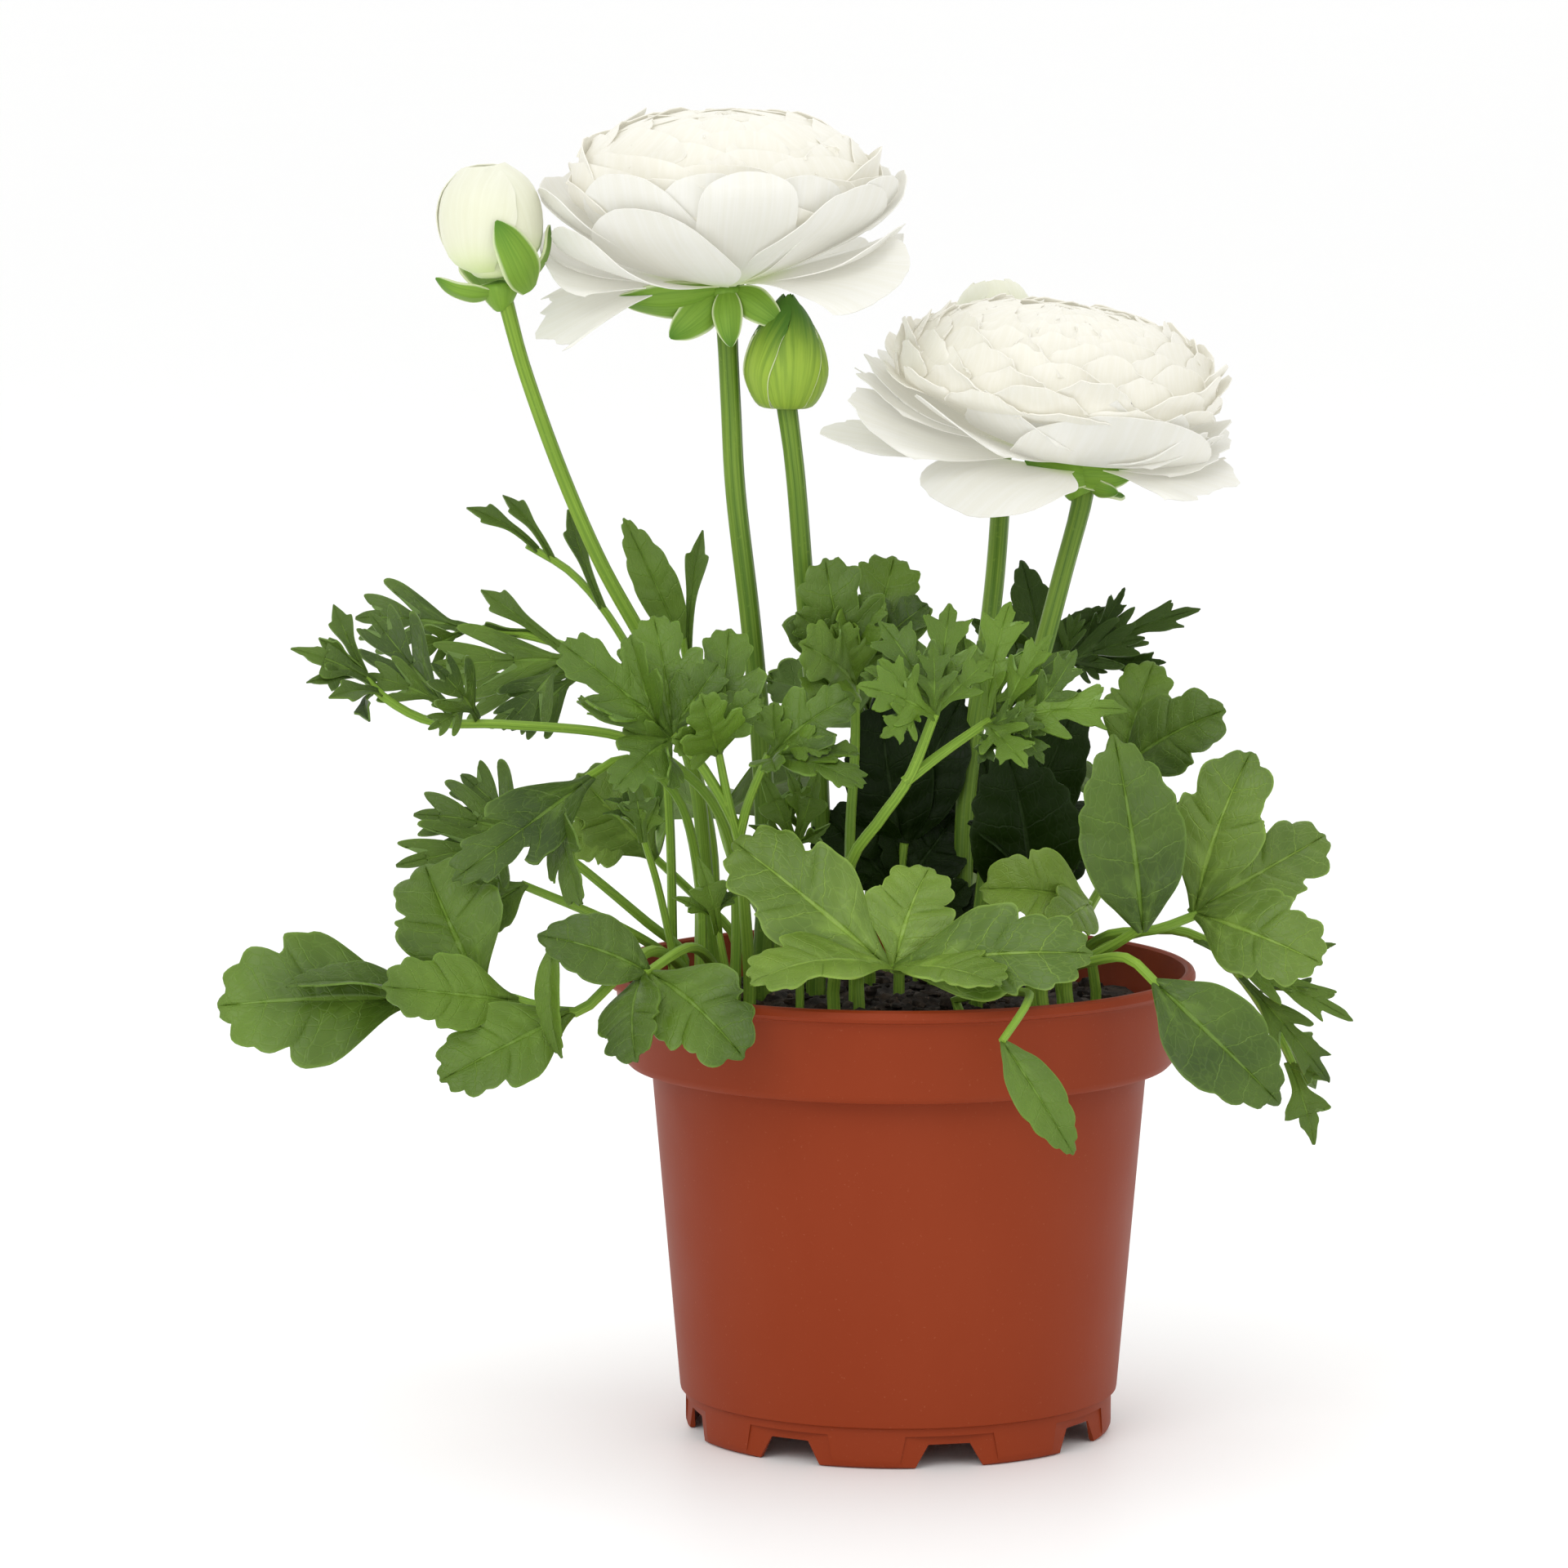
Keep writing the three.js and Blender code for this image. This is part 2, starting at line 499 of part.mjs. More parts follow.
// The leaves: each stalk starts in the soil, and its points are in the pot's frame
const LEAVES = {
  leaf_far_left: {
    stalks: [stalk(1.2, [-43, -18, ROOT_Z], [-43, -18, 96], [-49, -30, 102], [-56, -42, 98],
      [-63, -44, 92], [-71, -44, 93], [-81, -42, 95], [-98, -42, 94])],
    blades: [
      blade('fan', [-96, -42, 94], [-134, -50, 94], 14, FRONT, 4),
      blade('oval', [-92, -43, 94], [-120, -56, 99], 5, SKY, 2, 2),
      blade('fan', [-82, -42, 95], [-94, -34, 120], 11, FRONT, 5, 3),
      blade('fan', [-75, -44, 94], [-101, -58, 99], 8, FRONT, 2),
      blade('fan', [-64, -44, 92], [-90, -56, 80], 9, FRONT, 3),
    ],
  },
  leaf_front_left: {
    stalks: [stalk(1.2, [-36, -14, ROOT_Z], [-36, -14, 94], [-41, -32, 103], [-50, -48, 100])],
    blades: [
      blade('fan', [-49, -47, 100], [-30, -65, 86], 10, FRONT, 3),
      blade('oval', [-49, -47, 100], [-71, -50, 108], 7, FRONT, 3),
      blade('fan', [-50, -47, 100], [-51, -64, 85], 8, LEFT, 2),
      blade('strap', [-67, -50, 108], [-66, -54, 84], 4, LEFT, 2),
    ],
  },
  leaf_front_mid: {
    stalks: [stalk(1.2, [-8, -12, ROOT_Z], [-8, -12, 95], [-4, -32, 100], [-1, -47, 101])],
    blades: [
      blade('fan', [-2, -46, 101], [-33, -36, 125], 11, FRONT, 3),
      blade('fan', [-1, -46, 101], [6, -38, 120], 9, FRONT, 2),
      blade('fan', [-1, -48, 101], [-29, -65, 101], 10, SKY, 3),
      blade('fan', [-1, -48, 101], [20, -68, 101], 8, SKY, 2),
      blade('fan', [-1, -47, 101], [38, -59, 106], 10, FRONT, 4),
    ],
  },
  leaf_front_hanging: {
    stalks: [stalk(1, [12, -20, ROOT_Z], [12, -20, 91], [24, -44, 96], [25, -60, 96.4], [20, -68, 90])],
    blades: [blade('oval', [20, -68, 90], [34, -71, 68], 5, FRONT, 2)],
  },
  leaf_right_ternate: {
    stalks: [stalk(1.2, [33, -6, ROOT_Z], [33, -6, 94], [41, -16, 103], [51, -20, 105], [60, -18, 108])],
    blades: [
      blade('fan', [59, -18, 108], [70, -20, 141], 9.5, FRONT, 2),
      blade('fan', [59, -18, 108], [84, -33, 100], 10, FRONT, 3),
      blade('fan', [58, -18, 108], [86, -4, 122], 9, FRONT, 2),
    ],
  },
  leaf_right_oval: {
    stalks: [stalk(1.2, [34, -17, ROOT_Z], [34, -17, 96], [42, -30, 103], [48, -37, 108])],
    blades: [blade('oval', [48, -37, 107], [42, -41, 147], 10.5, FRONT, 3)],
  },
  leaf_right_drooping: {
    stalks: [stalk(1.2, [29, -24, ROOT_Z], [29, -24, 96], [38, -36, 101], [45, -46, 103], [51, -50, 98])],
    blades: [blade('oval', [50, -50, 99], [75, -52, 75], 10, FRONT, 3)],
  },
  leaf_right_cut: {
    stalks: [stalk(1.1, [40, 6, ROOT_Z], [40, 6, 97], [52, 8, 101], [62, 7, 99], [70, 4, 91],
      [76, 2, 82], [80, 0, 74], [82, -2, 66])],
    blades: [
      blade('cut', [60, 7, 99], [92, -4, 84], 5, FRONT, 3),
      blade('strap', [64, 6, 97], [84, 12, 95], 2.6, FRONT),
      blade('cut', [69, 4, 92], [87, -8, 72], 5, FRONT),
      blade('trefoil', [79, 0, 75], [84, -6, 59], 5, FRONT),
      blade('strap', [76, 2, 82], [85, 9, 68], 2.4, FRONT),
    ],
  },
  leaf_right_upper: {
    stalks: [stalk(1.1, [27, 22, ROOT_Z], [27, 22, 98], [33, 22, 105], [40, 22, 121], [45, 20, 133])],
    blades: [
      blade('fan', [45, 20, 132], [66, 8, 146], 8.5, FRONT),
      blade('fan', [45, 20, 132], [52, 25, 154], 7, FRONT),
    ],
  },
  leaf_right_back_cut: {
    stalks: [stalk(1.1, [20, 31, ROOT_Z], [20, 31, 91], [23, 34, 117], [27, 37, 137], [33, 36, 152])],
    blades: [
      blade('cut', [32, 36, 151], [62, 34, 164], 5, FRONT),
      blade('cut', [32, 36, 151], [50, 24, 159], 5, FRONT),
      blade('oval', [30, 37, 146], [25, 44, 173], 5, FRONT),
    ],
  },
  leaf_upper_middle: {
    stalks: [stalk(1.2, [-9, -2, ROOT_Z], [-9, -2, 92], [-10, 0, 118], [-9, 2, 138], [-9, 2, 152])],
    blades: [
      blade('fan', [-9, 2, 151], [-15, -5, 178], 9, FRONT),
      blade('fan', [-9, 2, 151], [-1, 12, 177], 8, FRONT),
      blade('fan', [-9, 2, 151], [-20, -16, 162], 9, FRONT),
    ],
  },
  leaf_centre_cut: {
    stalks: [
      stalk(1.3, [-13, -20, ROOT_Z], [-13, -20, 94], [-10, -27, 118], [-4, -30, 128], [2, -32, 137],
        [7, -34, 150]),
      stalk(1.1, [1, -32, 136], [9, -30, 142], [18, -28, 148]),
    ],
    blades: [
      blade('cut', [7, -34, 149], [-4, -30, 168], 7, FRONT),
      blade('cut', [7, -34, 149], [10, -24, 171], 7, FRONT),
      blade('cut', [7, -34, 149], [-8, -46, 157], 7, FRONT),
      blade('cut', [17, -28, 147], [22, -20, 171], 7, FRONT),
      blade('cut', [17, -28, 147], [25, -46, 141], 6, FRONT),
      blade('cut', [17, -28, 147], [45, -34, 151], 7, FRONT),
      blade('trefoil', [17, -28, 147], [34, -18, 161], 6, FRONT),
    ],
  },
  leaf_left_cluster: {
    stalks: [
      stalk(1.3, [-30, -16, ROOT_Z], [-30, -16, 95], [-31, -20, 111], [-32, -22, 124], [-39, -26, 138],
        [-45, -28, 145]),
      stalk(1, [-32, -22, 123], [-34, -24, 131], [-36, -27, 142]),
      stalk(1, [-32, -22, 123], [-30, -24, 131], [-26, -27, 141]),
    ],
    blades: [
      blade('fan', [-45, -28, 144], [-67, -34, 164], 8, FRONT),
      blade('fan', [-45, -28, 144], [-49, -20, 168], 8, FRONT),
      blade('fan', [-45, -28, 144], [-56, -44, 136], 6, FRONT),
      blade('fan', [-36, -27, 141], [-39, -43, 155], 7, FRONT),
      blade('fan', [-36, -27, 141], [-34, -16, 165], 8, FRONT),
      blade('fan', [-26, -27, 140], [-9, -28, 153], 7, FRONT),
      blade('fan', [-26, -27, 140], [-7, -40, 136], 7, SKY),
    ],
  },
  leaf_left_cut_low: {
    stalks: [stalk(1.1, [-33, -6, ROOT_Z], [-33, -6, 113], [-36, -8, 126], [-43, -10, 135],
      [-56, -14, 143], [-79, -20, 146], [-93, -24, 147], [-103, -28, 153], [-108, -30, 160])],
    blades: [
      blade('strap', [-106, -29, 157], [-112, -29, 171], 2.6, FRONT),
      blade('trefoil', [-104, -28, 155], [-120, -36, 163], 4.5, FRONT),
      blade('strap', [-103, -28, 153], [-112, -42, 154], 2.6, FRONT),
      blade('cut', [-88, -22, 147], [-106, -14, 168], 5, FRONT),
      blade('trefoil', [-84, -21, 147], [-92, -36, 160], 4, FRONT),
    ],
  },
  leaf_left_cut_high: {
    stalks: [stalk(1.1, [-38, 14, ROOT_Z], [-38, 14, 116], [-43, 12, 137], [-52, 9, 149], [-61, 7, 156],
      [-75, 6, 161], [-86, 3, 162])],
    blades: [
      blade('cut', [-85, 3, 162], [-110, 2, 165], 5, FRONT),
      blade('strap', [-68, 6, 158], [-85, 10, 170], 2.8, FRONT),
      blade('cut', [-62, 7, 156], [-95, -7, 156], 5, FRONT),
      blade('cut', [-60, 7, 155], [-90, 12, 147], 5, FRONT),
    ],
  },
  leaf_left_fork: {
    stalks: [stalk(1, [-46, 8, ROOT_Z], [-46, 8, 92], [-47, 8, 130], [-51, 6, 150], [-58, 4, 164],
      [-66, 2, 174], [-75, 0, 180])],
    blades: [
      blade('strap', [-73, 0, 179], [-87, -4, 188], 2.2, FRONT),
      blade('strap', [-70, 1, 177], [-80, 2, 190], 2, FRONT),
      blade('strap', [-60, 3, 167], [-67, 4, 187], 2.4, FRONT),
    ],
  },
  leaf_left_strap: {
    stalks: [stalk(1, [-41, 20, ROOT_Z], [-41, 20, 120], [-42, 14, 145], [-44, 10, 160])],
    blades: [
      blade('oval', [-44, 11, 158], [-56, 8, 185], 4.5, FRONT),
      blade('strap', [-43, 12, 156], [-40, 14, 182], 2.4, FRONT),
    ],
  },
  leaf_left_middle: {
    stalks: [stalk(1.1, [-44, 1, ROOT_Z], [-44, 1, 97], [-51, -4, 104], [-66, -13, 118], [-74, -15, 123])],
    blades: [
      blade('cut', [-73, -15, 122], [-88, -11, 135], 5.5, FRONT),
      blade('cut', [-73, -15, 122], [-97, -20, 128], 5, FRONT),
      blade('cut', [-72, -15, 122], [-100, -30, 119], 5, FRONT),
    ],
  },
  leaf_left_arching: {
    stalks: [stalk(1.1, [-40, -8, ROOT_Z], [-40, -8, 110], [-44, -14, 130], [-54, -19, 139],
      [-62, -24, 136])],
    blades: [
      blade('fan', [-61, -24, 136], [-88, -46, 118], 10, FRONT, 4),
    ],
  },
  leaf_left_low: {
    stalks: [stalk(1.1, [-46, -4, ROOT_Z], [-46, -4, 96], [-57, -20, 106], [-75, -28, 115])],
    blades: [
      blade('fan', [-74, -28, 115], [-88, -34, 106], 6, FRONT),
    ],
  },
  leaf_left_back: {
    stalks: [stalk(1.1, [-34, 26, ROOT_Z], [-34, 26, 97], [-42, 27, 105], [-50, 25, 113])],
    blades: [
      blade('fan', [-50, 25, 113], [-66, 22, 131], 9, FRONT),
      blade('fan', [-50, 25, 113], [-54, 40, 128], 8, REAR),
    ],
  },
  leaf_dark_heart: {
    stalks: [stalk(1.2, [7, 22, ROOT_Z], [7, 22, 95], [12, 21, 104], [20, 20, 111])],
    blades: [
      blade('oval', [20, 20, 110], [25, 7, 140], 11, RIGHT, 3),
    ],
  },
  leaf_middle_dark: {
    stalks: [stalk(1.2, [0, 10, ROOT_Z], [0, 10, 92], [0, 12, 108], [1, 12, 118])],
    blades: [
      blade('fan', [1, 12, 117], [-2, 9, 140], 8, FRONT),
    ],
  },
  leaf_curled_old: {
    stalks: [stalk(1.1, [27, -12, ROOT_Z], [27, -12, 96], [34, -13, 103], [38, -14, 110])],
    blades: [
      blade('fan', [38, -14, 109], [16, -19, 113], 8, FRONT, 5, 4),
      blade('fan', [38, -14, 109], [30, -28, 106], 6, RIGHT),
    ],
  },
  leaf_young_left: {
    stalks: [stalk(0.9, [-45, -13, ROOT_Z], [-45, -13, 96], [-48, -17, 112], [-51, -24, 124])],
    blades: [
      blade('trefoil', [-51, -24, 123], [-53, -27, 137], 4, FRONT),
    ],
  },
  leaf_young_middle: {
    stalks: [stalk(0.9, [-20, -6, ROOT_Z], [-20, -6, 110], [-21, -10, 121])],
    blades: [
      blade('trefoil', [-21, -10, 120], [-28, -14, 136], 4, FRONT),
      blade('trefoil', [-21, -10, 120], [-16, -13, 137], 4, FRONT),
    ],
  },
  leaf_young_front: {
    stalks: [stalk(0.9, [-34, -24, ROOT_Z], [-34, -24, 94], [-36, -27, 106])],
    blades: [
      blade('trefoil', [-36, -27, 105], [-40, -30, 121], 4, FRONT),
    ],
  },
  leaf_back_left: {
    stalks: [stalk(1.2, [-26, 34, ROOT_Z], [-26, 34, 96], [-34, 48, 108], [-38, 60, 118])],
    blades: [
      blade('fan', [-38, 60, 117], [-44, 88, 120], 11, REAR),
      blade('fan', [-38, 60, 117], [-64, 60, 124], 10, REAR),
      blade('fan', [-38, 60, 117], [-16, 68, 126], 9, REAR),
    ],
  },
  leaf_back_middle: {
    stalks: [stalk(1.2, [-6, 28, ROOT_Z], [-6, 28, 97], [-6, 36, 118], [-6, 44, 138])],
    blades: [
      blade('fan', [-6, 44, 137], [-10, 66, 152], 10, REAR),
      blade('fan', [-6, 44, 137], [-28, 48, 148], 9, REAR),
      blade('fan', [-6, 44, 137], [15, 54, 146], 9, REAR),
    ],
  },
  leaf_back_right: {
    stalks: [stalk(1.2, [34, 32, ROOT_Z], [34, 32, 92], [44, 44, 108], [50, 52, 114])],
    blades: [
      blade('fan', [50, 52, 113], [66, 74, 112], 11, REAR),
      blade('fan', [50, 52, 113], [76, 44, 118], 9, REAR),
      blade('fan', [50, 52, 113], [38, 72, 122], 9, REAR),
    ],
  },
  leaf_back_low: {
    stalks: [stalk(1.2, [4, 38, ROOT_Z], [4, 38, 92], [6, 54, 104], [6, 66, 104])],
    blades: [
      blade('fan', [6, 66, 104], [8, 94, 92], 11, REAR),
      blade('fan', [6, 66, 104], [-19, 78, 102], 9, REAR),
      blade('fan', [6, 66, 104], [30, 76, 104], 9, REAR),
    ],
  },
};

const LIGHT_LEAVES = new Set([
  'leaf_centre_cut', 'leaf_left_cluster', 'leaf_young_left', 'leaf_young_middle', 'leaf_young_front',
]);
const DARK_LEAVES = new Set(['leaf_dark_heart', 'leaf_middle_dark', 'leaf_right_back_cut']);

function headPetals(name, core, rings, outer = [], shift = [0, 0, 0]) {
  const middle = fuse([latheSolid(core, CORE_SIDES), ...rings.flatMap(petalRing)]).translate(shift);
  const hem = outer.map(({ profile, turn, halfWidth, ...shape }) => (
    petalSolid(profile, turn, halfWidth, shape)));
  const { seat, lean } = HEADS[name];
  return placed(largest(fuse([middle, ...hem])), seat, lean);
}

// Stem, receptacle under the petals and sepals, in one body
function stemSolid(name, sepals) {
  const [radius, points] = STEMS[name];
  const { seat, lean, rise } = HEADS[name];
  const profile = [
    [0, -5],
    [radius, -4.6],
    [KNOB_RADIUS, -1.4],
    [KNOB_RADIUS, 0.2],
    [KNOB_RADIUS * 0.6, rise - 0.4],
    [0, rise],
  ];
  const knob = latheSolid(profile, STEM_SIDES);
  const collar = fuse([knob, ...sepals.map((one) => bladeSolid(one, SEPAL_THICKNESS))]);
  return largest(fuse([tube(rooted(points), radius, STEM_SIDES, STEM_STEP), placed(collar, seat, lean)]));
}

function greenBudSolid() {
  const [radius, points] = STEMS.green_bud;
  const { seat, lean } = HEADS.green_bud;
  const head = fuse([latheSolid(GREEN_BUD_CORE, CORE_SIDES), ...petalRing(GREEN_BUD_SEPALS)]);
  return largest(fuse([tube(rooted(points), radius, STEM_SIDES, STEM_STEP), placed(head, seat, lean)]));
}

function leafColour(name) {
  if (LIGHT_LEAVES.has(name)) {
    return COLOURS.leafLight;
  }
  return DARK_LEAVES.has(name) ? COLOURS.leafDark : COLOURS.leaf;
}

const plant = new THREE.Group();
const stalksInSoil = [
  ...Object.values(STEMS),
  ...Object.values(LEAVES).map(({ stalks }) => stalks[0]),
];

plant.add(
  toMesh('pot', potSolid(), COLOURS.terracotta, 0.45),
  toMesh('soil', soilSolid(stalksInSoil.map(holeFor)), COLOURS.soil, 0.95),
  toMesh('bloom_left_petals', headPetals('bloom_left', LEFT_CORE, LEFT_RINGS, LEFT_OUTER), COLOURS.petal),
  toMesh('bloom_left_stem', stemSolid('bloom_left', LEFT_SEPALS), COLOURS.stem),
  toMesh('bloom_right_petals',
    headPetals('bloom_right', RIGHT_CORE, RIGHT_RINGS, RIGHT_OUTER, RIGHT_RING_SHIFT), COLOURS.petal),
  toMesh('bloom_right_stem', stemSolid('bloom_right', RIGHT_SEPALS), COLOURS.stem),
  toMesh('white_bud_petals', headPetals('white_bud', WHITE_BUD_CORE, WHITE_BUD_RINGS), COLOURS.petalGreen),
  toMesh('white_bud_stem', stemSolid('white_bud', WHITE_BUD_SEPALS), COLOURS.stemBright),
  toMesh('back_bud_petals', headPetals('back_bud', BACK_BUD_CORE, BACK_BUD_RINGS), COLOURS.petalGreen),
  toMesh('back_bud_stem', stemSolid('back_bud', BACK_BUD_SEPALS), COLOURS.stem),
  toMesh('green_bud', greenBudSolid(), COLOURS.stem),
);

for (const [name, leaf] of Object.entries(LEAVES)) {
  plant.add(toMesh(name, leafSolid(leaf), leafColour(name)));
}

export default plant;
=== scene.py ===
"""A white ranunculus in flower in its 12 cm nursery pot: the looks, piece by piece, round its solids.

All sizes here are millimetres in the pot's own frame: +Z up, the front towards -Y.
"""
import logging
import math
import random
from dataclasses import dataclass, field
from enum import Enum
from typing import Callable, Sequence

import bpy
import numpy as np
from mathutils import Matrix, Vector


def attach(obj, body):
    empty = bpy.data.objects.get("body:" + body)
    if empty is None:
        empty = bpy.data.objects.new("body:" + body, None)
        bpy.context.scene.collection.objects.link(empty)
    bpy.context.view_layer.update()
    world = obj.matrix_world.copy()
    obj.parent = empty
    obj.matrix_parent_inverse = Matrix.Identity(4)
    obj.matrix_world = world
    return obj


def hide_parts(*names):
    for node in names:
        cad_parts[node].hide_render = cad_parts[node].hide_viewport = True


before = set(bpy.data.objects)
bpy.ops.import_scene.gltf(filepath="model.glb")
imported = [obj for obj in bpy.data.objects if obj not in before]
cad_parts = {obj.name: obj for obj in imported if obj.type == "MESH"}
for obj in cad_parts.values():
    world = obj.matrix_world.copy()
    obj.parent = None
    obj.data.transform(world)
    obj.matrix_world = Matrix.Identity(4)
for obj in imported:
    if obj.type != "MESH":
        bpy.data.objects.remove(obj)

MM = 0.001
ROOT = "root"
SHADE = "shade"
SOIL_TOP = 88.5
STALK_FOOT = 76
WELD = 2e-6
END = 1e-6
SIDEWAYS = (0.3, 1.0, 0.2)

Point = tuple[float, float, float]
Colour = tuple[float, float, float]
Profile = tuple[tuple[float, float], ...]
Array = np.ndarray
Surface = Callable[[Array, Array], Array]
Piece = bpy.types.Object
Material = bpy.types.Material
Socket = bpy.types.NodeSocket

log = logging.getLogger("ranunculus")


# Node trees


class Nodes:
    """A material's node tree, built one node at a time."""

    def __init__(self, name: str) -> None:
        """Starts a material of that name with a bare shader."""
        self.material = bpy.data.materials.new(name)
        self.material.use_nodes = True
        self.tree = self.material.node_tree
        self.shader = self.tree.nodes["Principled BSDF"]

    def add(self, kind: str, **settings: object) -> bpy.types.Node:
        """Adds a node.

        Args:
            kind: The node's class name without its ShaderNode prefix.
            settings: Properties to set on the node.

        Returns:
            The new node.
        """
        node = self.tree.nodes.new("ShaderNode" + kind)
        for key, value in settings.items():
            setattr(node, key, value)
        return node

    def link(self, source: object, target: Socket) -> None:
        """Joins an output to an input, or sets the input to a plain value."""
        if isinstance(source, Socket):
            self.tree.links.new(source, target)
        else:
            target.default_value = source

    def fill(self, node: bpy.types.Node, *values: object) -> bpy.types.Node:
        """Gives a node's inputs their sockets or plain values, in order."""
        for value, target in zip(values, node.inputs):
            self.link(value, target)
        return node

    def maths(self, operation: str, *values: object) -> Socket:
        """The result of a Math node with these sockets or numbers."""
        return self.fill(self.add("Math", operation=operation), *values).outputs[0]

    def times(self, value: object, factor: object) -> Socket:
        """A value times a factor."""
        return self.maths("MULTIPLY", value, factor)

    def scaled(self, value: object, factor: object, more: object) -> Socket:
        """A value times a factor, and then so much more."""
        return self.maths("MULTIPLY_ADD", value, factor, more)

    def ramp(self, value: object, low: float, high: float, start: float = 0, end: float = 1) -> Socket:
        """Maps a value smoothly from low..high to start..end."""
        node = self.add("MapRange", interpolation_type="SMOOTHSTEP")
        return self.fill(node, value, low, high, start, end).outputs[0]

    def noise(self, place: Socket, scale: float, detail: float = 3, rough: float = 0.5) -> Socket:
        """Adds a noise.

        Args:
            place: The coordinates' socket.
            scale: How fine the noise is.
            detail: How many octaves it has.
            rough: How strong the finer octaves are.

        Returns:
            The noise's value, about 0.5 in the middle.
        """
        node = self.add("TexNoise")
        for key, value in {"Vector": place, "Scale": scale, "Detail": detail, "Roughness": rough}.items():
            self.link(value, node.inputs[key])
        return node.outputs["Fac"]

    def stretched(self, place: Socket, scale: Point) -> Socket:
        """Coordinates stretched by a factor along each axis."""
        node = self.add("Mapping")
        self.link(place, node.inputs["Vector"])
        self.link(scale, node.inputs["Scale"])
        return node.outputs[0]

    def blend(self, share: object, first: object, second: object, mode: str = "MIX") -> Socket:
        """Blends two colours.

        Args:
            share: How much of the second colour is taken, a socket or a number.
            first: A socket or an RGB colour.
            second: A socket or an RGB colour.
            mode: The node's blend type.

        Returns:
            The blended colour's socket.
        """
        node = self.add("Mix", data_type="RGBA", blend_type=mode)
        self.link(share, node.inputs["Factor"])
        for source, target in ((first, node.inputs[6]), (second, node.inputs[7])):
            self.link((*source, 1) if isinstance(source, tuple) else source, target)
        return node.outputs[2]

    def place(self, kind: str = "Object") -> Socket:
        """The surface's own coordinates: Object or UV."""
        return self.add("TexCoord").outputs[kind]

    def chart(self) -> tuple[Socket, Socket, Socket]:
        """The UV map, its share along the piece, and the distance from its middle line, up to 1."""
        chart = self.place("UV")
        split = self.fill(self.add("SeparateXYZ"), chart)
        return chart, split.outputs[1], self.maths("ABSOLUTE", self.scaled(split.outputs[0], 2.0, -1.0))

    def bump(self, height: Socket, strength: float, depth: float) -> None:
        """Raises the surface by a height, at a strength and a depth in millimetres."""
        node = self.add("Bump")
        for key, value in {"Strength": strength, "Distance": depth * MM, "Height": height}.items():
            self.link(value, node.inputs[key])
        self.link(node.outputs[0], self.shader.inputs["Normal"])

    def finish(self, colour: Socket, roughness: object, gloss: float,
               flesh: tuple[float, Point, float] | None = None) -> Material:
        """Joins colour and roughness to the shader and sets its plain sockets.

        Args:
            colour: The base colour's socket.
            roughness: A socket or a number.
            gloss: The specular level.
            flesh: How much light goes under the surface, its radius and its scale in millimetres.

        Returns:
            The finished material.
        """
        plain = {"Base Color": colour, "Roughness": roughness, "Specular IOR Level": gloss}
        if flesh:
            weight, radius, scale = flesh
            plain |= {"Subsurface Weight": weight, "Subsurface Radius": radius}
            plain["Subsurface Scale"] = scale * MM
        for key, value in plain.items():
            self.link(value, self.shader.inputs[key])
        return self.material


# Finishes

GREEN_FLESH = (0.12, (0.5, 1.0, 0.25), 1.0)


class Tone(Enum):
    """A leaf's lit and deep greens, which are painted light and painted shade, its gloss and its slot in the
    record.
    """

    PALE = ((0.180, 0.282, 0.035), (0.068, 0.126, 0.011), 0.35, "leaf")
    MIDDLE = ((0.100, 0.178, 0.014), (0.020, 0.046, 0.003), 0.32, "leaf")
    CROWN = ((0.108, 0.196, 0.014), (0.012, 0.034, 0.002), 0.32, "leaf_light")
    SHADED = ((0.044, 0.086, 0.007), (0.014, 0.034, 0.002), 0.2, "leaf_dark")
    # The darkest green, nearly black, is partly the leaves' own deep green and partly painted shade for
    # leaves deep inside the plant.
    DARK = ((0.012, 0.028, 0.002), (0.004, 0.011, 0.001), 0.1, "leaf_dark")


PALE, MIDDLE, CROWN, SHADED, DARK = Tone


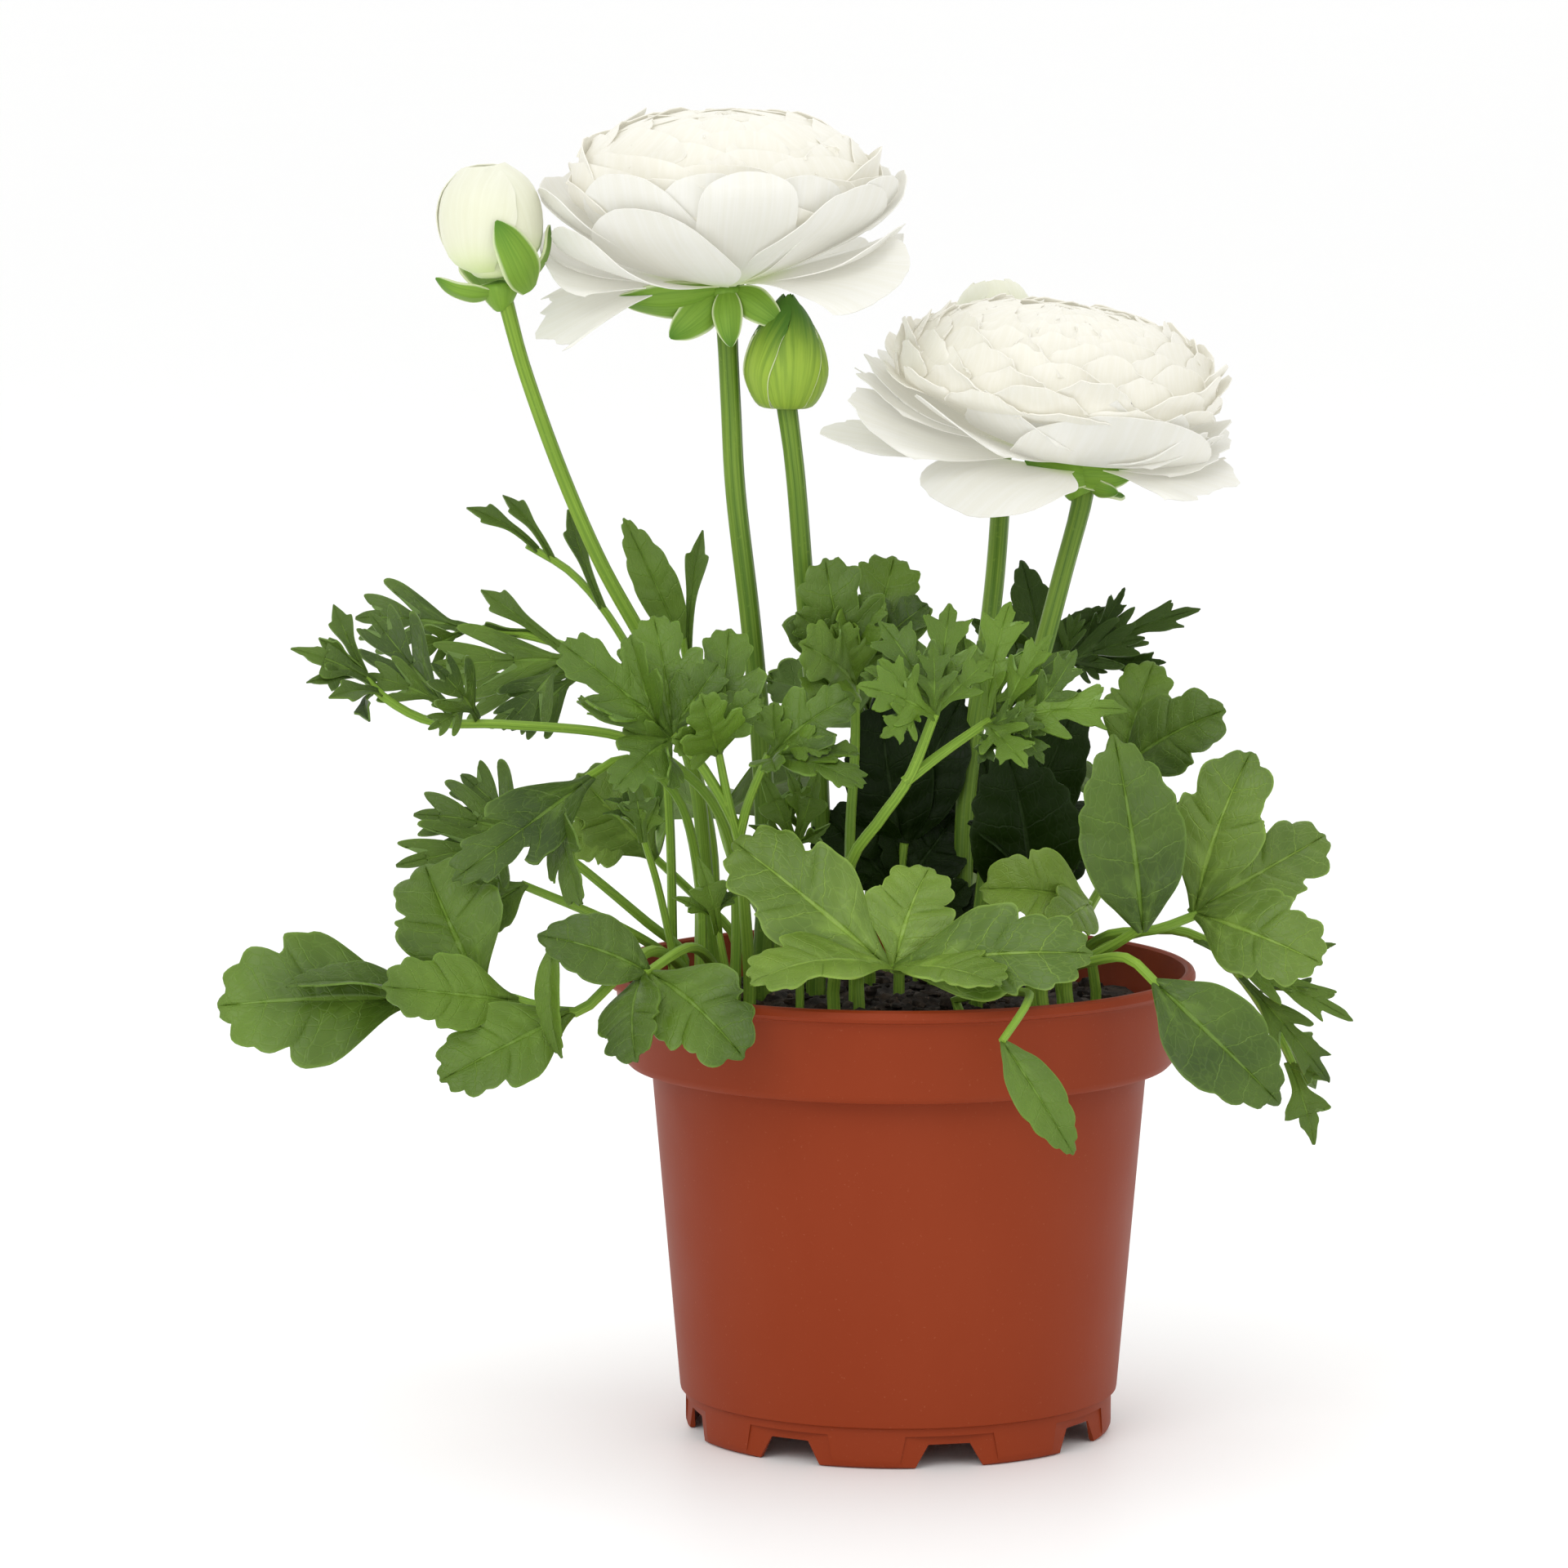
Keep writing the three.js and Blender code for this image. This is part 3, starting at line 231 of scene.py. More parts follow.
@dataclass(frozen=True)
class LeafFinish:
    """The blade of a leaf, with its rib, side veins and fine net, read from its own UV map, its green mixed
    between painted light and painted shade.
    """

    name: str
    # lit and deep are the blade's green in painted light and in painted shade.
    lit: Colour
    deep: Colour
    vein: Colour
    gloss: float
    roughness: float = 0.42
    side_veins: float = 6
    relief: float = 0.35

    def make(self) -> Material:
        """The finished material."""
        n = Nodes(self.name)
        chart, along, across = n.chart()
        rib = n.ramp(n.maths("DIVIDE", across, n.scaled(along, -0.05, 0.085)), 0.35, 1.0, 1, 0)
        rank = n.times(n.maths("ADD", along, n.scaled(n.noise(chart, 7), 0.05, -0.025)), self.side_veins)
        side = n.ramp(n.maths("ABSOLUTE", n.maths("SUBTRACT", n.maths("FRACT", rank), 0.5)), 0.0, 0.032, 1, 0)
        veins = n.maths("MAXIMUM", rib, n.times(side, n.ramp(across, 0.55, 1.0, 0.85, 0.15)))
        net = n.add("TexVoronoi", feature="DISTANCE_TO_EDGE")
        n.link(n.stretched(chart, (13, 17, 1)), net.inputs["Vector"])
        n.link(1.0, net.inputs["Scale"])
        fine = n.ramp(net.outputs["Distance"], 0.0, 0.09, 1, 0)
        # The blade's painted shade value and a noise mix its painted lit and shaded greens.
        shade = n.add("Attribute", attribute_name=SHADE).outputs["Fac"]
        drift = n.ramp(n.noise(n.place(), 34, 4), 0.32, 0.68)
        colour = n.blend(n.scaled(drift, 0.55, n.scaled(shade, 0.8, -0.18)), self.deep, self.lit)
        heart = n.times(n.ramp(n.noise(chart, 5, 2), 0.46, 0.66), n.ramp(along, 0.12, 0.5, 0.55, 0))
        pale_shares = (n.ramp(n.noise(n.place(), 13, 1), 0.46, 0.62, 0, 0.22),
                       n.times(heart, n.ramp(across, 0.1, 0.7, 1, 0)),
                       n.times(fine, 0.12), n.times(veins, 0.5), n.ramp(across, 0.93, 1.0, 0, 0.35))
        for share in pale_shares:
            colour = n.blend(share, colour, self.vein)
        rough = n.scaled(n.noise(n.place(), 180, 2), 0.16, self.roughness - 0.08)
        hollows = n.times(n.noise(chart, 22, 3), 0.4)
        n.bump(n.maths("SUBTRACT", hollows, n.scaled(fine, 0.25, veins)), 0.55, self.relief)
        return n.finish(colour, rough, self.gloss, (0.08, (0.4, 1.0, 0.2), 0.8))


@dataclass(frozen=True)
class StalkFinish:
    """A juicy stalk, streaked along its length."""

    name: str
    pale: Colour
    deep: Colour
    streaks: float = 26
    roughness: float = 0.34

    def make(self) -> Material:
        """The finished material."""
        n = Nodes(self.name)
        streak = n.noise(n.stretched(n.place("UV"), (self.streaks, 2.2, 1)), 1.0, 4, 0.6)
        colour = n.blend(n.ramp(streak, 0.34, 0.66), self.deep, self.pale)
        colour = n.blend(n.ramp(n.noise(n.place(), 42, 3), 0.35, 0.7, 0, 0.4), colour, self.deep)
        colour = n.blend(n.ramp(n.noise(n.place(), 900, 2), 0.62, 0.72, 0, 0.35), colour, self.pale)
        n.bump(n.maths("ADD", streak, n.times(n.noise(n.place(), 1400, 2), 0.3)), 0.6, 0.18)
        return n.finish(colour, n.scaled(streak, 0.2, self.roughness), 0.2, GREEN_FLESH)


@dataclass(frozen=True)
class PetalFinish:
    """A thin silky petal that lets light through: tinted at its foot, faintly streaked, paler at its edge,
    and glowing with painted light in its own colour.
    """

    name: str
    body: Colour
    rim: Colour
    foot: Colour
    foot_reach: float
    painted_glow: float = 0.2
    roughness: float = 0.44

    def make(self) -> Material:
        """The finished material."""
        n = Nodes(self.name)
        chart, along, across = n.chart()
        streak = n.noise(n.stretched(chart, (34, 1.6, 1)), 1.0, 3, 0.55)
        edge = n.maths("MAXIMUM", n.ramp(along, 0.5, 1.0), n.ramp(across, 0.6, 1.0, 0, 0.8))
        colour = n.blend(n.times(edge, 0.8), self.body, self.rim)
        colour = n.blend(n.ramp(n.noise(n.place(), 60, 3), 0.3, 0.7, 0, 0.3), colour, self.rim)
        lines = n.blend(n.ramp(streak, 0.35, 0.7, 0, 1), (0.965, 0.960, 0.930), (1.0, 1.0, 1.0))
        colour = n.blend(0.9, colour, lines, "MULTIPLY")
        colour = n.blend(n.ramp(along, 0.02, self.foot_reach, 0.9, 0), colour, self.foot)
        n.bump(streak, 0.3, 0.12)
        # Emission makes the petal glow with painted light in its own colour, which lifts the shade in the
        # slits between petals.
        painted_light = {"Emission Color": colour, "Emission Strength": self.painted_glow, "Sheen Weight": 0.1}
        for key, value in painted_light.items():
            n.link(value, n.shader.inputs[key])
        return n.finish(colour, n.scaled(streak, 0.12, self.roughness), 0.3, (0.12, (1.0, 0.95, 0.85), 1.2))


@dataclass(frozen=True)
class SepalFinish:
    """A green sepal, darker towards its tip, with a thin pale skin along both margins."""

    name: str
    body: Colour
    tip: Colour
    margin_from: float = 0.8
    margin: Colour = (0.62, 0.68, 0.42)

    def make(self) -> Material:
        """The finished material."""
        n = Nodes(self.name)
        chart, along, across = n.chart()
        streak = n.noise(n.stretched(chart, (16, 1.3, 1)), 1.0, 4, 0.6)
        reach = n.maths("ADD", along, n.scaled(streak, 0.4, -0.2))
        colour = n.blend(n.ramp(reach, 0.45, 0.95), self.body, self.tip)
        colour = n.blend(n.ramp(streak, 0.35, 0.7, 0, 0.4), colour, self.tip)
        colour = n.blend(n.ramp(across, self.margin_from, 0.98, 0, 0.85), colour, self.margin)
        n.bump(streak, 0.5, 0.2)
        return n.finish(colour, 0.48, 0.2, GREEN_FLESH)


@dataclass(frozen=True)
class PotFinish:
    """Satin terracotta-brown plastic, with the faint cloudiness and dust of a moulded pot."""

    name: str = "terracotta_satin_plastic"
    body: Colour = (0.222, 0.031, 0.007)
    worn: Colour = (0.258, 0.043, 0.013)
    dust: Colour = (0.34, 0.11, 0.06)

    def make(self) -> Material:
        """The finished material."""
        n = Nodes(self.name)
        place = n.place()
        cloud = n.noise(n.stretched(place, (1, 1, 0.45)), 26, 4, 0.55)
        colour = n.blend(n.ramp(cloud, 0.35, 0.72, 0, 0.35), self.body, self.worn)
        colour = n.blend(n.ramp(n.noise(place, 1900, 2, 0.4), 0.70, 0.76, 0, 0.3), colour, self.dust)
        drag = n.times(n.noise(n.stretched(place, (1, 1, 0.2)), 120, 3), 0.6)
        n.bump(n.maths("ADD", n.noise(place, 2600, 2), drag), 0.2, 0.06)
        return n.finish(colour, n.scaled(n.noise(place, 55, 4), 0.16, 0.42), 0.12)


@dataclass(frozen=True)
class SoilFinish:
    """Damp dark peat with paler fibres."""

    name: str
    dark: Colour
    brown: Colour
    fibre: Colour = (0.13, 0.085, 0.05)

    def make(self) -> Material:
        """The finished material."""
        n = Nodes(self.name)
        place = n.place()
        lumps = n.noise(place, 260, 5, 0.65)
        colour = n.blend(n.ramp(lumps, 0.4, 0.72), self.dark, self.brown)
        strands = n.ramp(n.noise(n.stretched(place, (1, 0.16, 1)), 900, 3), 0.66, 0.74, 0, 0.8)
        n.bump(n.noise(place, 700, 5, 0.7), 0.9, 0.9)
        return n.finish(n.blend(strands, colour, self.fibre), n.ramp(lumps, 0.3, 0.7, 0.95, 0.7), 0.3)


@dataclass(frozen=True)
class FloorFinish:
    """The pale matt table that the pot stands on."""

    name: str = "pale_table"
    colour: Colour = (0.965, 0.965, 0.96)
    cloud: Colour = (0.975, 0.975, 0.975)

    def make(self) -> Material:
        """The finished material."""
        n = Nodes(self.name)
        clouds = n.ramp(n.noise(n.place(), 3, 2), 0.3, 0.7, 0, 0.2)
        return n.finish(n.blend(clouds, self.colour, self.cloud), 0.5, 0.25)


# Curves, plain grids and what is made of them


def through(points: Sequence[Sequence[float]], reach: Array) -> Array:
    """Points on the smooth curve through given points.

    Args:
        points: The points, one a row.
        reach: Places along the curve, from 0 to 1.

    Returns:
        One point a row for each place.
    """
    points = np.asarray(points, float)
    ends = np.vstack([2 * points[0] - points[1], points, 2 * points[-1] - points[-2]])
    place = np.clip(reach, 0, 1) * (len(points) - 1)
    first = np.minimum(place.astype(int), len(points) - 2)
    share = (place - first)[:, None]
    before, start, end, after = (ends[first + k] for k in range(4))
    leave, arrive = (end - before) / 2, (after - start) / 2
    square, cube = share**2, share**3
    return ((2 * cube - 3 * square + 1) * start + (cube - 2 * square + share) * leave
            + (3 * square - 2 * cube) * end + (cube - square) * arrive)


def unit(vector: Sequence[float]) -> Array:
    """A vector, or each row of several, at length 1."""
    vector = np.asarray(vector, float)
    return vector / np.linalg.norm(vector, axis=-1, keepdims=True)


def evenly(points: Sequence[Point], step: float) -> Array:
    """Points at an even spacing, step millimetres, along the smooth curve through given points."""
    fine = through(points, np.linspace(0, 1, 40 * len(points)))
    run = np.concatenate([[0], np.cumsum(np.linalg.norm(np.diff(fine, axis=0), axis=1))])
    count = max(int(round(run[-1] / step)), 3)
    at = np.linspace(0, run[-1], count + 1)
    return np.stack([np.interp(at, run, fine[:, k]) for k in range(3)], axis=1)


def at_ends(v: Array) -> Array:
    """Whether each v is at an end, 0 or 1."""
    return (v < END) | (v > 1 - END)


def round_angle(u: Array) -> Array:
    """The angle round a form at u, the very same one at u = -1 and u = 1."""
    return np.where(np.isclose(np.abs(u), 1), math.pi, u * math.pi)


def rooted(points: Sequence[Point]) -> list[Point]:
    """A stalk's points with its foot straight down in the soil under the first of them."""
    x, y, _ = points[0]
    return [(x, y, STALK_FOOT), (x, y, SOIL_TOP), *points]


def read_points(mesh: bpy.types.Mesh) -> Array:
    """A mesh's points in metres, one a row."""
    flat = np.empty(len(mesh.vertices) * 3)
    mesh.vertices.foreach_get("co", flat)
    return flat.reshape(-1, 3)


def write_points(mesh: bpy.types.Mesh, points: Array) -> None:
    """Moves a mesh's points to these, in metres, one a row."""
    mesh.vertices.foreach_set("co", points.ravel())
    mesh.update()


def stand(name: str, data: bpy.types.ID) -> Piece:
    """Adds an object with this data to the scene."""
    piece = bpy.data.objects.new(name, data)
    bpy.context.collection.objects.link(piece)
    return piece


def deselect() -> None:
    """Leaves edit mode and deselects every object."""
    if bpy.context.object and bpy.context.object.mode != "OBJECT":
        bpy.ops.object.mode_set(mode="OBJECT")
    bpy.ops.object.select_all(action="DESELECT")


def activate(*pieces: Piece) -> None:
    """Selects these pieces alone and makes the first one active."""
    deselect()
    for piece in pieces:
        piece.select_set(True)
    bpy.context.view_layer.objects.active = pieces[0]


def edit(piece: Piece) -> None:
    """Opens a piece in edit mode with all of it selected."""
    activate(piece)
    bpy.ops.object.mode_set(mode="EDIT")
    bpy.ops.mesh.select_all(action="SELECT")


def joined(name: str, parts: Sequence[Piece]) -> Piece:
    """Joins parts into one piece, whose materials are in the order of the first part's."""
    activate(*parts)
    if len(parts) > 1:
        bpy.ops.object.join()
    whole = bpy.context.view_layer.objects.active
    whole.name = whole.data.name = name
    return whole


def modify(piece: Piece, kind: str, **settings: object) -> None:
    """Adds a modifier to a piece and applies it.

    Args:
        piece: The piece to work on.
        kind: The modifier's type.
        settings: The modifier's properties.
    """
    activate(piece)
    modifier = piece.modifiers.new(kind.title(), kind)
    for key, value in settings.items():
        setattr(modifier, key, value)
    bpy.ops.object.modifier_apply(modifier=modifier.name)


def smoothed(piece: Piece, degrees: float = 50) -> Piece:
    """Shades a piece smooth, but for edges sharper than an angle."""
    activate(piece)
    bpy.ops.object.shade_smooth_by_angle(angle=math.radians(degrees))
    return piece


def dress(piece: Piece, materials: Sequence[Material], slot: int = 0) -> Piece:
    """Gives a piece its materials and puts all its faces on one of them."""
    for material in materials:
        piece.data.materials.append(material)
    piece.data.polygons.foreach_set("material_index", np.full(len(piece.data.polygons), slot))
    return piece


def carry(piece: Piece, seat: Point, lean: Point) -> Piece:
    """Carries a piece made upright at the origin to a head's seat, in its mesh.

    Args:
        piece: The piece to carry.
        seat: Where the head's foot goes.
        lean: The direction of the head's axis.

    Returns:
        The same piece.
    """
    turn = np.array(Vector((0, 0, 1)).rotation_difference(Vector(lean).normalized()).to_matrix())
    write_points(piece.data, read_points(piece.data) @ turn.T + np.array(seat, float) * MM)
    return piece


def declare(piece: Piece, slot: str, *nodes: str) -> None:
    """Tells the frame what a piece rides on and which CAD parts it replaces.

    Args:
        piece: The finished piece.
        slot: The record's material slot; not used.
        nodes: The CAD nodes that the piece stands for.
    """
    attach(piece, ROOT)
    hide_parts(*nodes)
    log.info("%s: %d faces, stands for %s", piece.name, len(piece.data.polygons), ", ".join(nodes))


class Grids:
    """Plain grids, each modelled once and copied for every blade, petal and stalk."""

    def __init__(self) -> None:
        """Starts with none."""
        self.plain: dict[tuple[int, int], bpy.types.Mesh] = {}

    def copy(self, columns: int, rows: int) -> bpy.types.Mesh:
        """A grid of that many cells with a mesh of its own."""
        key = (columns, rows)
        if key not in self.plain:
            deselect()
            cells = {"x_subdivisions": columns, "y_subdivisions": rows}
            bpy.ops.mesh.primitive_grid_add(**cells, size=2, calc_uvs=True)
            grid = bpy.context.view_layer.objects.active
            self.plain[key] = grid.data
            bpy.data.objects.remove(grid)
        return self.plain[key].copy()

    def lay(self, columns: int, rows: int, surface: Surface) -> Piece:
        """Lays a grid over a surface.

        Args:
            columns: Cells across, for u from -1 to 1.
            rows: Cells along, for v from 0 to 1.
            surface: Gives the millimetre points at u and v.

        Returns:
            The laid sheet.
        """
        mesh = self.copy(columns, rows)
        u, v, _ = read_points(mesh).T
        write_points(mesh, surface(u, np.clip((v + 1) / 2, 0, 1)) * MM)
        return stand("sheet", mesh)

    def rolled(self, sides: int, rows: int, surface: Surface) -> Piece:
        """Lays a grid round a form whose two ends run to points, and closes it; u = -1 meets u = 1."""
        form = self.lay(sides, rows, surface)
        edit(form)
        bpy.ops.mesh.remove_doubles(threshold=WELD)
        bpy.ops.mesh.normals_make_consistent(inside=False)
        bpy.ops.object.mode_set(mode="OBJECT")
        return form

    def tube(self, points: Sequence[Point], radius: Callable[[Array], Array], sides: int, step: float,
             ridges: int, groove: float) -> Piece:
        """A stalk along a smooth curve, ridged along its length.

        Args:
            points: The curve's points.
            radius: Gives the radius at each share of the length.
            sides: Faces round the stalk.
            step: The length of a ring of faces.
            ridges: How many ridges run along the stalk.
            groove: How deep the ridges are, as a share of the radius.

        Returns:
            The closed stalk.
        """
        line = evenly(points, step)
        heading = unit(np.gradient(line, axis=0))
        normals = [unit(np.cross(heading[0], SIDEWAYS))]
        for tangent in heading[1:]:
            last = normals[-1]
            normals.append(unit(last - tangent * np.dot(last, tangent)))
        normal = np.array(normals)
        other = np.cross(heading, normal)
        rows = len(line) + 1

        def surface(u: Array, v: Array) -> Array:
            """Rings of points round the line, with both ends drawn to a point."""
            row = np.clip(np.rint(v * rows).astype(int) - 1, 0, len(line) - 1)
            angle = round_angle(u)
            wide = radius(row / (len(line) - 1)) * (1 + groove * np.cos(ridges * angle))
            wide = np.where(at_ends(v), 0, wide)[:, None]
            turn = angle[:, None]
            return line[row] + wide * (np.cos(turn) * normal[row] + np.sin(turn) * other[row])

        return self.rolled(sides, rows, surface)

    def turned(self, profile: Profile, sides: int, rows: int) -> Piece:
        """A closed body of revolution, whose profile of (radius, height) starts and ends on its axis."""
        def surface(u: Array, v: Array) -> Array:
            """Points of the profile, turned round the axis."""
            radius, height = through(profile, v).T
            radius = np.where(at_ends(v), 0, np.maximum(radius, 0.01))
            angle = round_angle(u)
            return np.stack([radius * np.cos(angle), radius * np.sin(angle), height], axis=1)

        return self.rolled(sides, rows, surface)


# Leaves


class Facing(Enum):
    """Ways that a blade's upper face can look."""

    FRONT = (0, -0.9, 0.45)
    SKY = (0, -0.35, 0.95)
    LEFT = (-0.6, -0.5, 0.6)
    RIGHT = (0.6, -0.5, 0.6)
    REAR = (0, 0.75, 0.65)


FRONT, SKY, LEFT, RIGHT, REAR = Facing


@dataclass(frozen=True)
class Form:
    """A blade's half outline from foot to tip, and the teeth along it from first on, depth deep.

    Each row of the outline is half width, height, and where its vein leaves the rib.
    """

    rows: tuple[Point, ...]
    cells: tuple[int, int]
    teeth: float = 0
    depth: float = 0
    first: float = 0.4
    side_veins: int = 6
    pucker: float = 0.5
    sharp: float = 0.4


class Outline(Enum):
    """The kinds of leaflet on this plant."""

    FAN = Form(((0.08, 0, 0), (0.26, 0.13, 0.1), (0.62, 0.28, 0.19), (0.94, 0.43, 0.28), (1.03, 0.56, 0.37),
                (0.95, 0.655, 0.46), (0.76, 0.67, 0.54), (0.80, 0.77, 0.62), (0.77, 0.87, 0.72),
                (0.54, 0.95, 0.83), (0.28, 0.985, 0.92), (0.05, 1.0, 1)), (18, 44), 4, 0.1, 0.3)
    LOBED = Form(((0.10, 0, 0), (0.22, 0.13, 0.1), (0.56, 0.28, 0.19), (0.94, 0.47, 0.28),
                  (1.06, 0.62, 0.36), (0.88, 0.68, 0.45), (0.50, 0.60, 0.53), (0.54, 0.72, 0.61),
                  (0.66, 0.85, 0.70), (0.54, 0.94, 0.81), (0.28, 0.985, 0.91), (0.05, 1, 1)),
                 (18, 48), 5, 0.12, 0.28, 5, 0.4, 0.75)
    OVAL = Form(((0.08, 0, 0), (0.42, 0.12, 0.08), (0.80, 0.26, 0.18), (0.98, 0.42, 0.32), (1.0, 0.56, 0.45),
                 (0.88, 0.71, 0.6), (0.64, 0.84, 0.75), (0.34, 0.94, 0.88), (0.04, 1, 1)),
                (18, 40), 4, 0.08, 0.45)
    CUT = Form(((0.10, 0, 0), (0.15, 0.14, 0.12), (0.24, 0.28, 0.24), (0.70, 0.46, 0.33), (0.94, 0.60, 0.39),
                (0.86, 0.62, 0.45), (0.40, 0.52, 0.5), (0.36, 0.60, 0.56), (0.62, 0.75, 0.63),
                (0.72, 0.86, 0.7), (0.60, 0.87, 0.76), (0.28, 0.83, 0.83), (0.24, 0.92, 0.92), (0.05, 1, 1)),
               (16, 52), 6, 0.11, 0.3, 3, 0.2, 0.8)
    FORKED = Form(((0.14, 0, 0), (0.15, 0.16, 0.13), (0.17, 0.27, 0.21), (0.58, 0.48, 0.28),
                   (0.92, 0.66, 0.33), (1.02, 0.78, 0.38), (0.86, 0.80, 0.43), (0.46, 0.62, 0.48),
                   (0.20, 0.49, 0.52), (0.18, 0.55, 0.57), (0.42, 0.69, 0.63), (0.60, 0.84, 0.68),
                   (0.62, 0.95, 0.73), (0.44, 0.92, 0.78), (0.22, 0.79, 0.82), (0.19, 0.84, 0.87),
                   (0.15, 0.93, 0.93), (0.04, 1, 1)), (12, 60), side_veins=3, pucker=0.1)
    TREFOIL = Form(((0.22, 0, 0), (0.26, 0.2, 0.2), (0.36, 0.38, 0.36), (0.8, 0.54, 0.5), (1.0, 0.66, 0.6),
                    (0.78, 0.68, 0.65), (0.42, 0.64, 0.68), (0.40, 0.78, 0.8), (0.05, 1, 1)),
                   (10, 32), 4, 0.09, 0.4, 3, 0.1, 0.6)
    STRAP = Form(((0.34, 0, 0), (0.36, 0.3, 0.3), (0.46, 0.5, 0.48), (0.86, 0.7, 0.6), (0.96, 0.8, 0.68),
                  (0.62, 0.82, 0.76), (0.46, 0.88, 0.86), (0.06, 1, 1)), (8, 26), side_veins=3, pucker=0)
    SEPAL = Form(((0.4, 0, 0), (0.86, 0.22, 0.18), (1, 0.45, 0.36), (0.74, 0.76, 0.7), (0.34, 0.93, 0.9),
                  (0.06, 1, 1)), (10, 22), side_veins=3, pucker=0)


FAN, LOBED, OVAL, CUT, FORKED, TREFOIL, STRAP, SEPAL = Outline
USUAL_HALF_WIDTH = 9
RIB_DEPTH = 0.18
RIB_HALF_WIDTH = 0.1
TIP_SHARE = 0.99


@dataclass(frozen=True)
class Blade:
    """One leaflet, lobe or sepal between two points, bowed up by arch, its sides raised by fold."""

    outline: Outline
    base: Point
    tip: Point
    half_width: float
    arch: float = 2
    fold: float = 1
    facing: Facing | Point = FRONT
    small: bool = False

    def axes(self) -> tuple[Array, Array, Array]:
        """Its base, the way from there to its tip, and the way that it faces."""
        base = np.array(self.base, float)
        facing = self.facing.value if isinstance(self.facing, Facing) else self.facing
        return base, np.array(self.tip, float) - base, np.array(facing, float)

    def surface(self, draw: random.Random) -> Surface:
        """The blade's middle surface, with its own teeth, waves and puckers.

        Args:
            draw: The seeded source of what differs from blade to blade.

        Returns:
            The surface for Grids.lay.
        """
        form: Form = self.outline.value
        base, way, facing = self.axes()
        length = float(np.linalg.norm(way))
        along = way / length
        up = unit(facing - along * np.dot(facing, along))
        side = np.cross(along, up)
        size = min(self.half_width / USUAL_HALF_WIDTH, 1.2)
        shift = (draw.uniform(-0.5, 0.5), draw.uniform(-0.5, 0.5))
        wave, swing, sway = draw.uniform(0, 6.3), draw.uniform(1.4, 2.3), draw.uniform(-0.035, 0.035)
        ripple = draw.uniform(0.5, 0.95) * size
        droop = draw.uniform(0.0, 1.3) * size
        depth = form.depth * draw.uniform(0.8, 1.25)

        def at(u: Array, v: Array) -> Array:
            """Points of the blade at u across and v along."""
            width, height, vein = through(form.rows, v).T
            out = np.abs(u)
            if form.teeth:
                turn = (v - form.first) / (1 - form.first) * form.teeth + np.where(u > 0, *shift)
                turn = turn + 0.3 * np.sin(5 * v + wave)
                lobe = (1 - form.sharp) * np.abs(np.sin(math.pi * turn)) ** 0.6
                lobe = lobe + form.sharp * (1 - np.abs(2 * (turn % 1) - 1)) ** 0.9
                notch = (1 - lobe) * np.clip((v - form.first) * 9, 0, 1) * out**3
                width = width * (1 - depth * 1.5 * notch)
                height = height - depth * 0.75 * notch * np.clip((v - 0.55) * 2.4, 0, 1)
            reach = vein + (height - vein) * out
            bow = 4 * reach * (1 - reach)
            swell = np.sin(2 * math.pi * swing * v + wave + np.where(u > 0, 1.3, 0))
            hollow = np.abs(np.sin(math.pi * form.side_veins * v)) ** 0.7
            rise = self.arch * bow + self.fold * out * width + ripple * out**2 * width * swell
            rise = rise + form.pucker * size * hollow * np.sqrt(np.clip(4 * out * (1 - out), 0, 1))
            rise = rise - RIB_DEPTH * size * np.exp(-((out / RIB_HALF_WIDTH) ** 2)) * (1 - 0.5 * v)
            rise = rise - droop * np.clip(reach - 0.6, 0, 1) ** 2 * 4
            across = u * width * self.half_width + sway * length * bow
            axes = ((side, across), (along, reach * length * TIP_SHARE), (up, rise))
            return base + sum(axis * far[:, None] for axis, far in axes)

        return at


def spray(outline: Outline, base: Point, *tips: tuple, facing: Facing = FRONT) -> tuple[Blade, ...]:
    """Blades from one point, each given as its tip and half width, and arch and fold if they're unusual."""
    return tuple(Blade(outline, base, *tip, facing=facing) for tip in tips)


@dataclass(frozen=True)
class Stalk:
    """A leaf stalk: its radius in the middle and the points that it runs through."""

    radius: float
    points: tuple[Point, ...]


@dataclass(frozen=True)
class Leaf:
    """A leaf, whose first stalk stands in the soil, with so many small lobes round the foot of each blade."""

    name: str
    tone: Tone
    ruffles: int
    stalks: tuple[Stalk, ...]
    blades: tuple[Blade, ...]


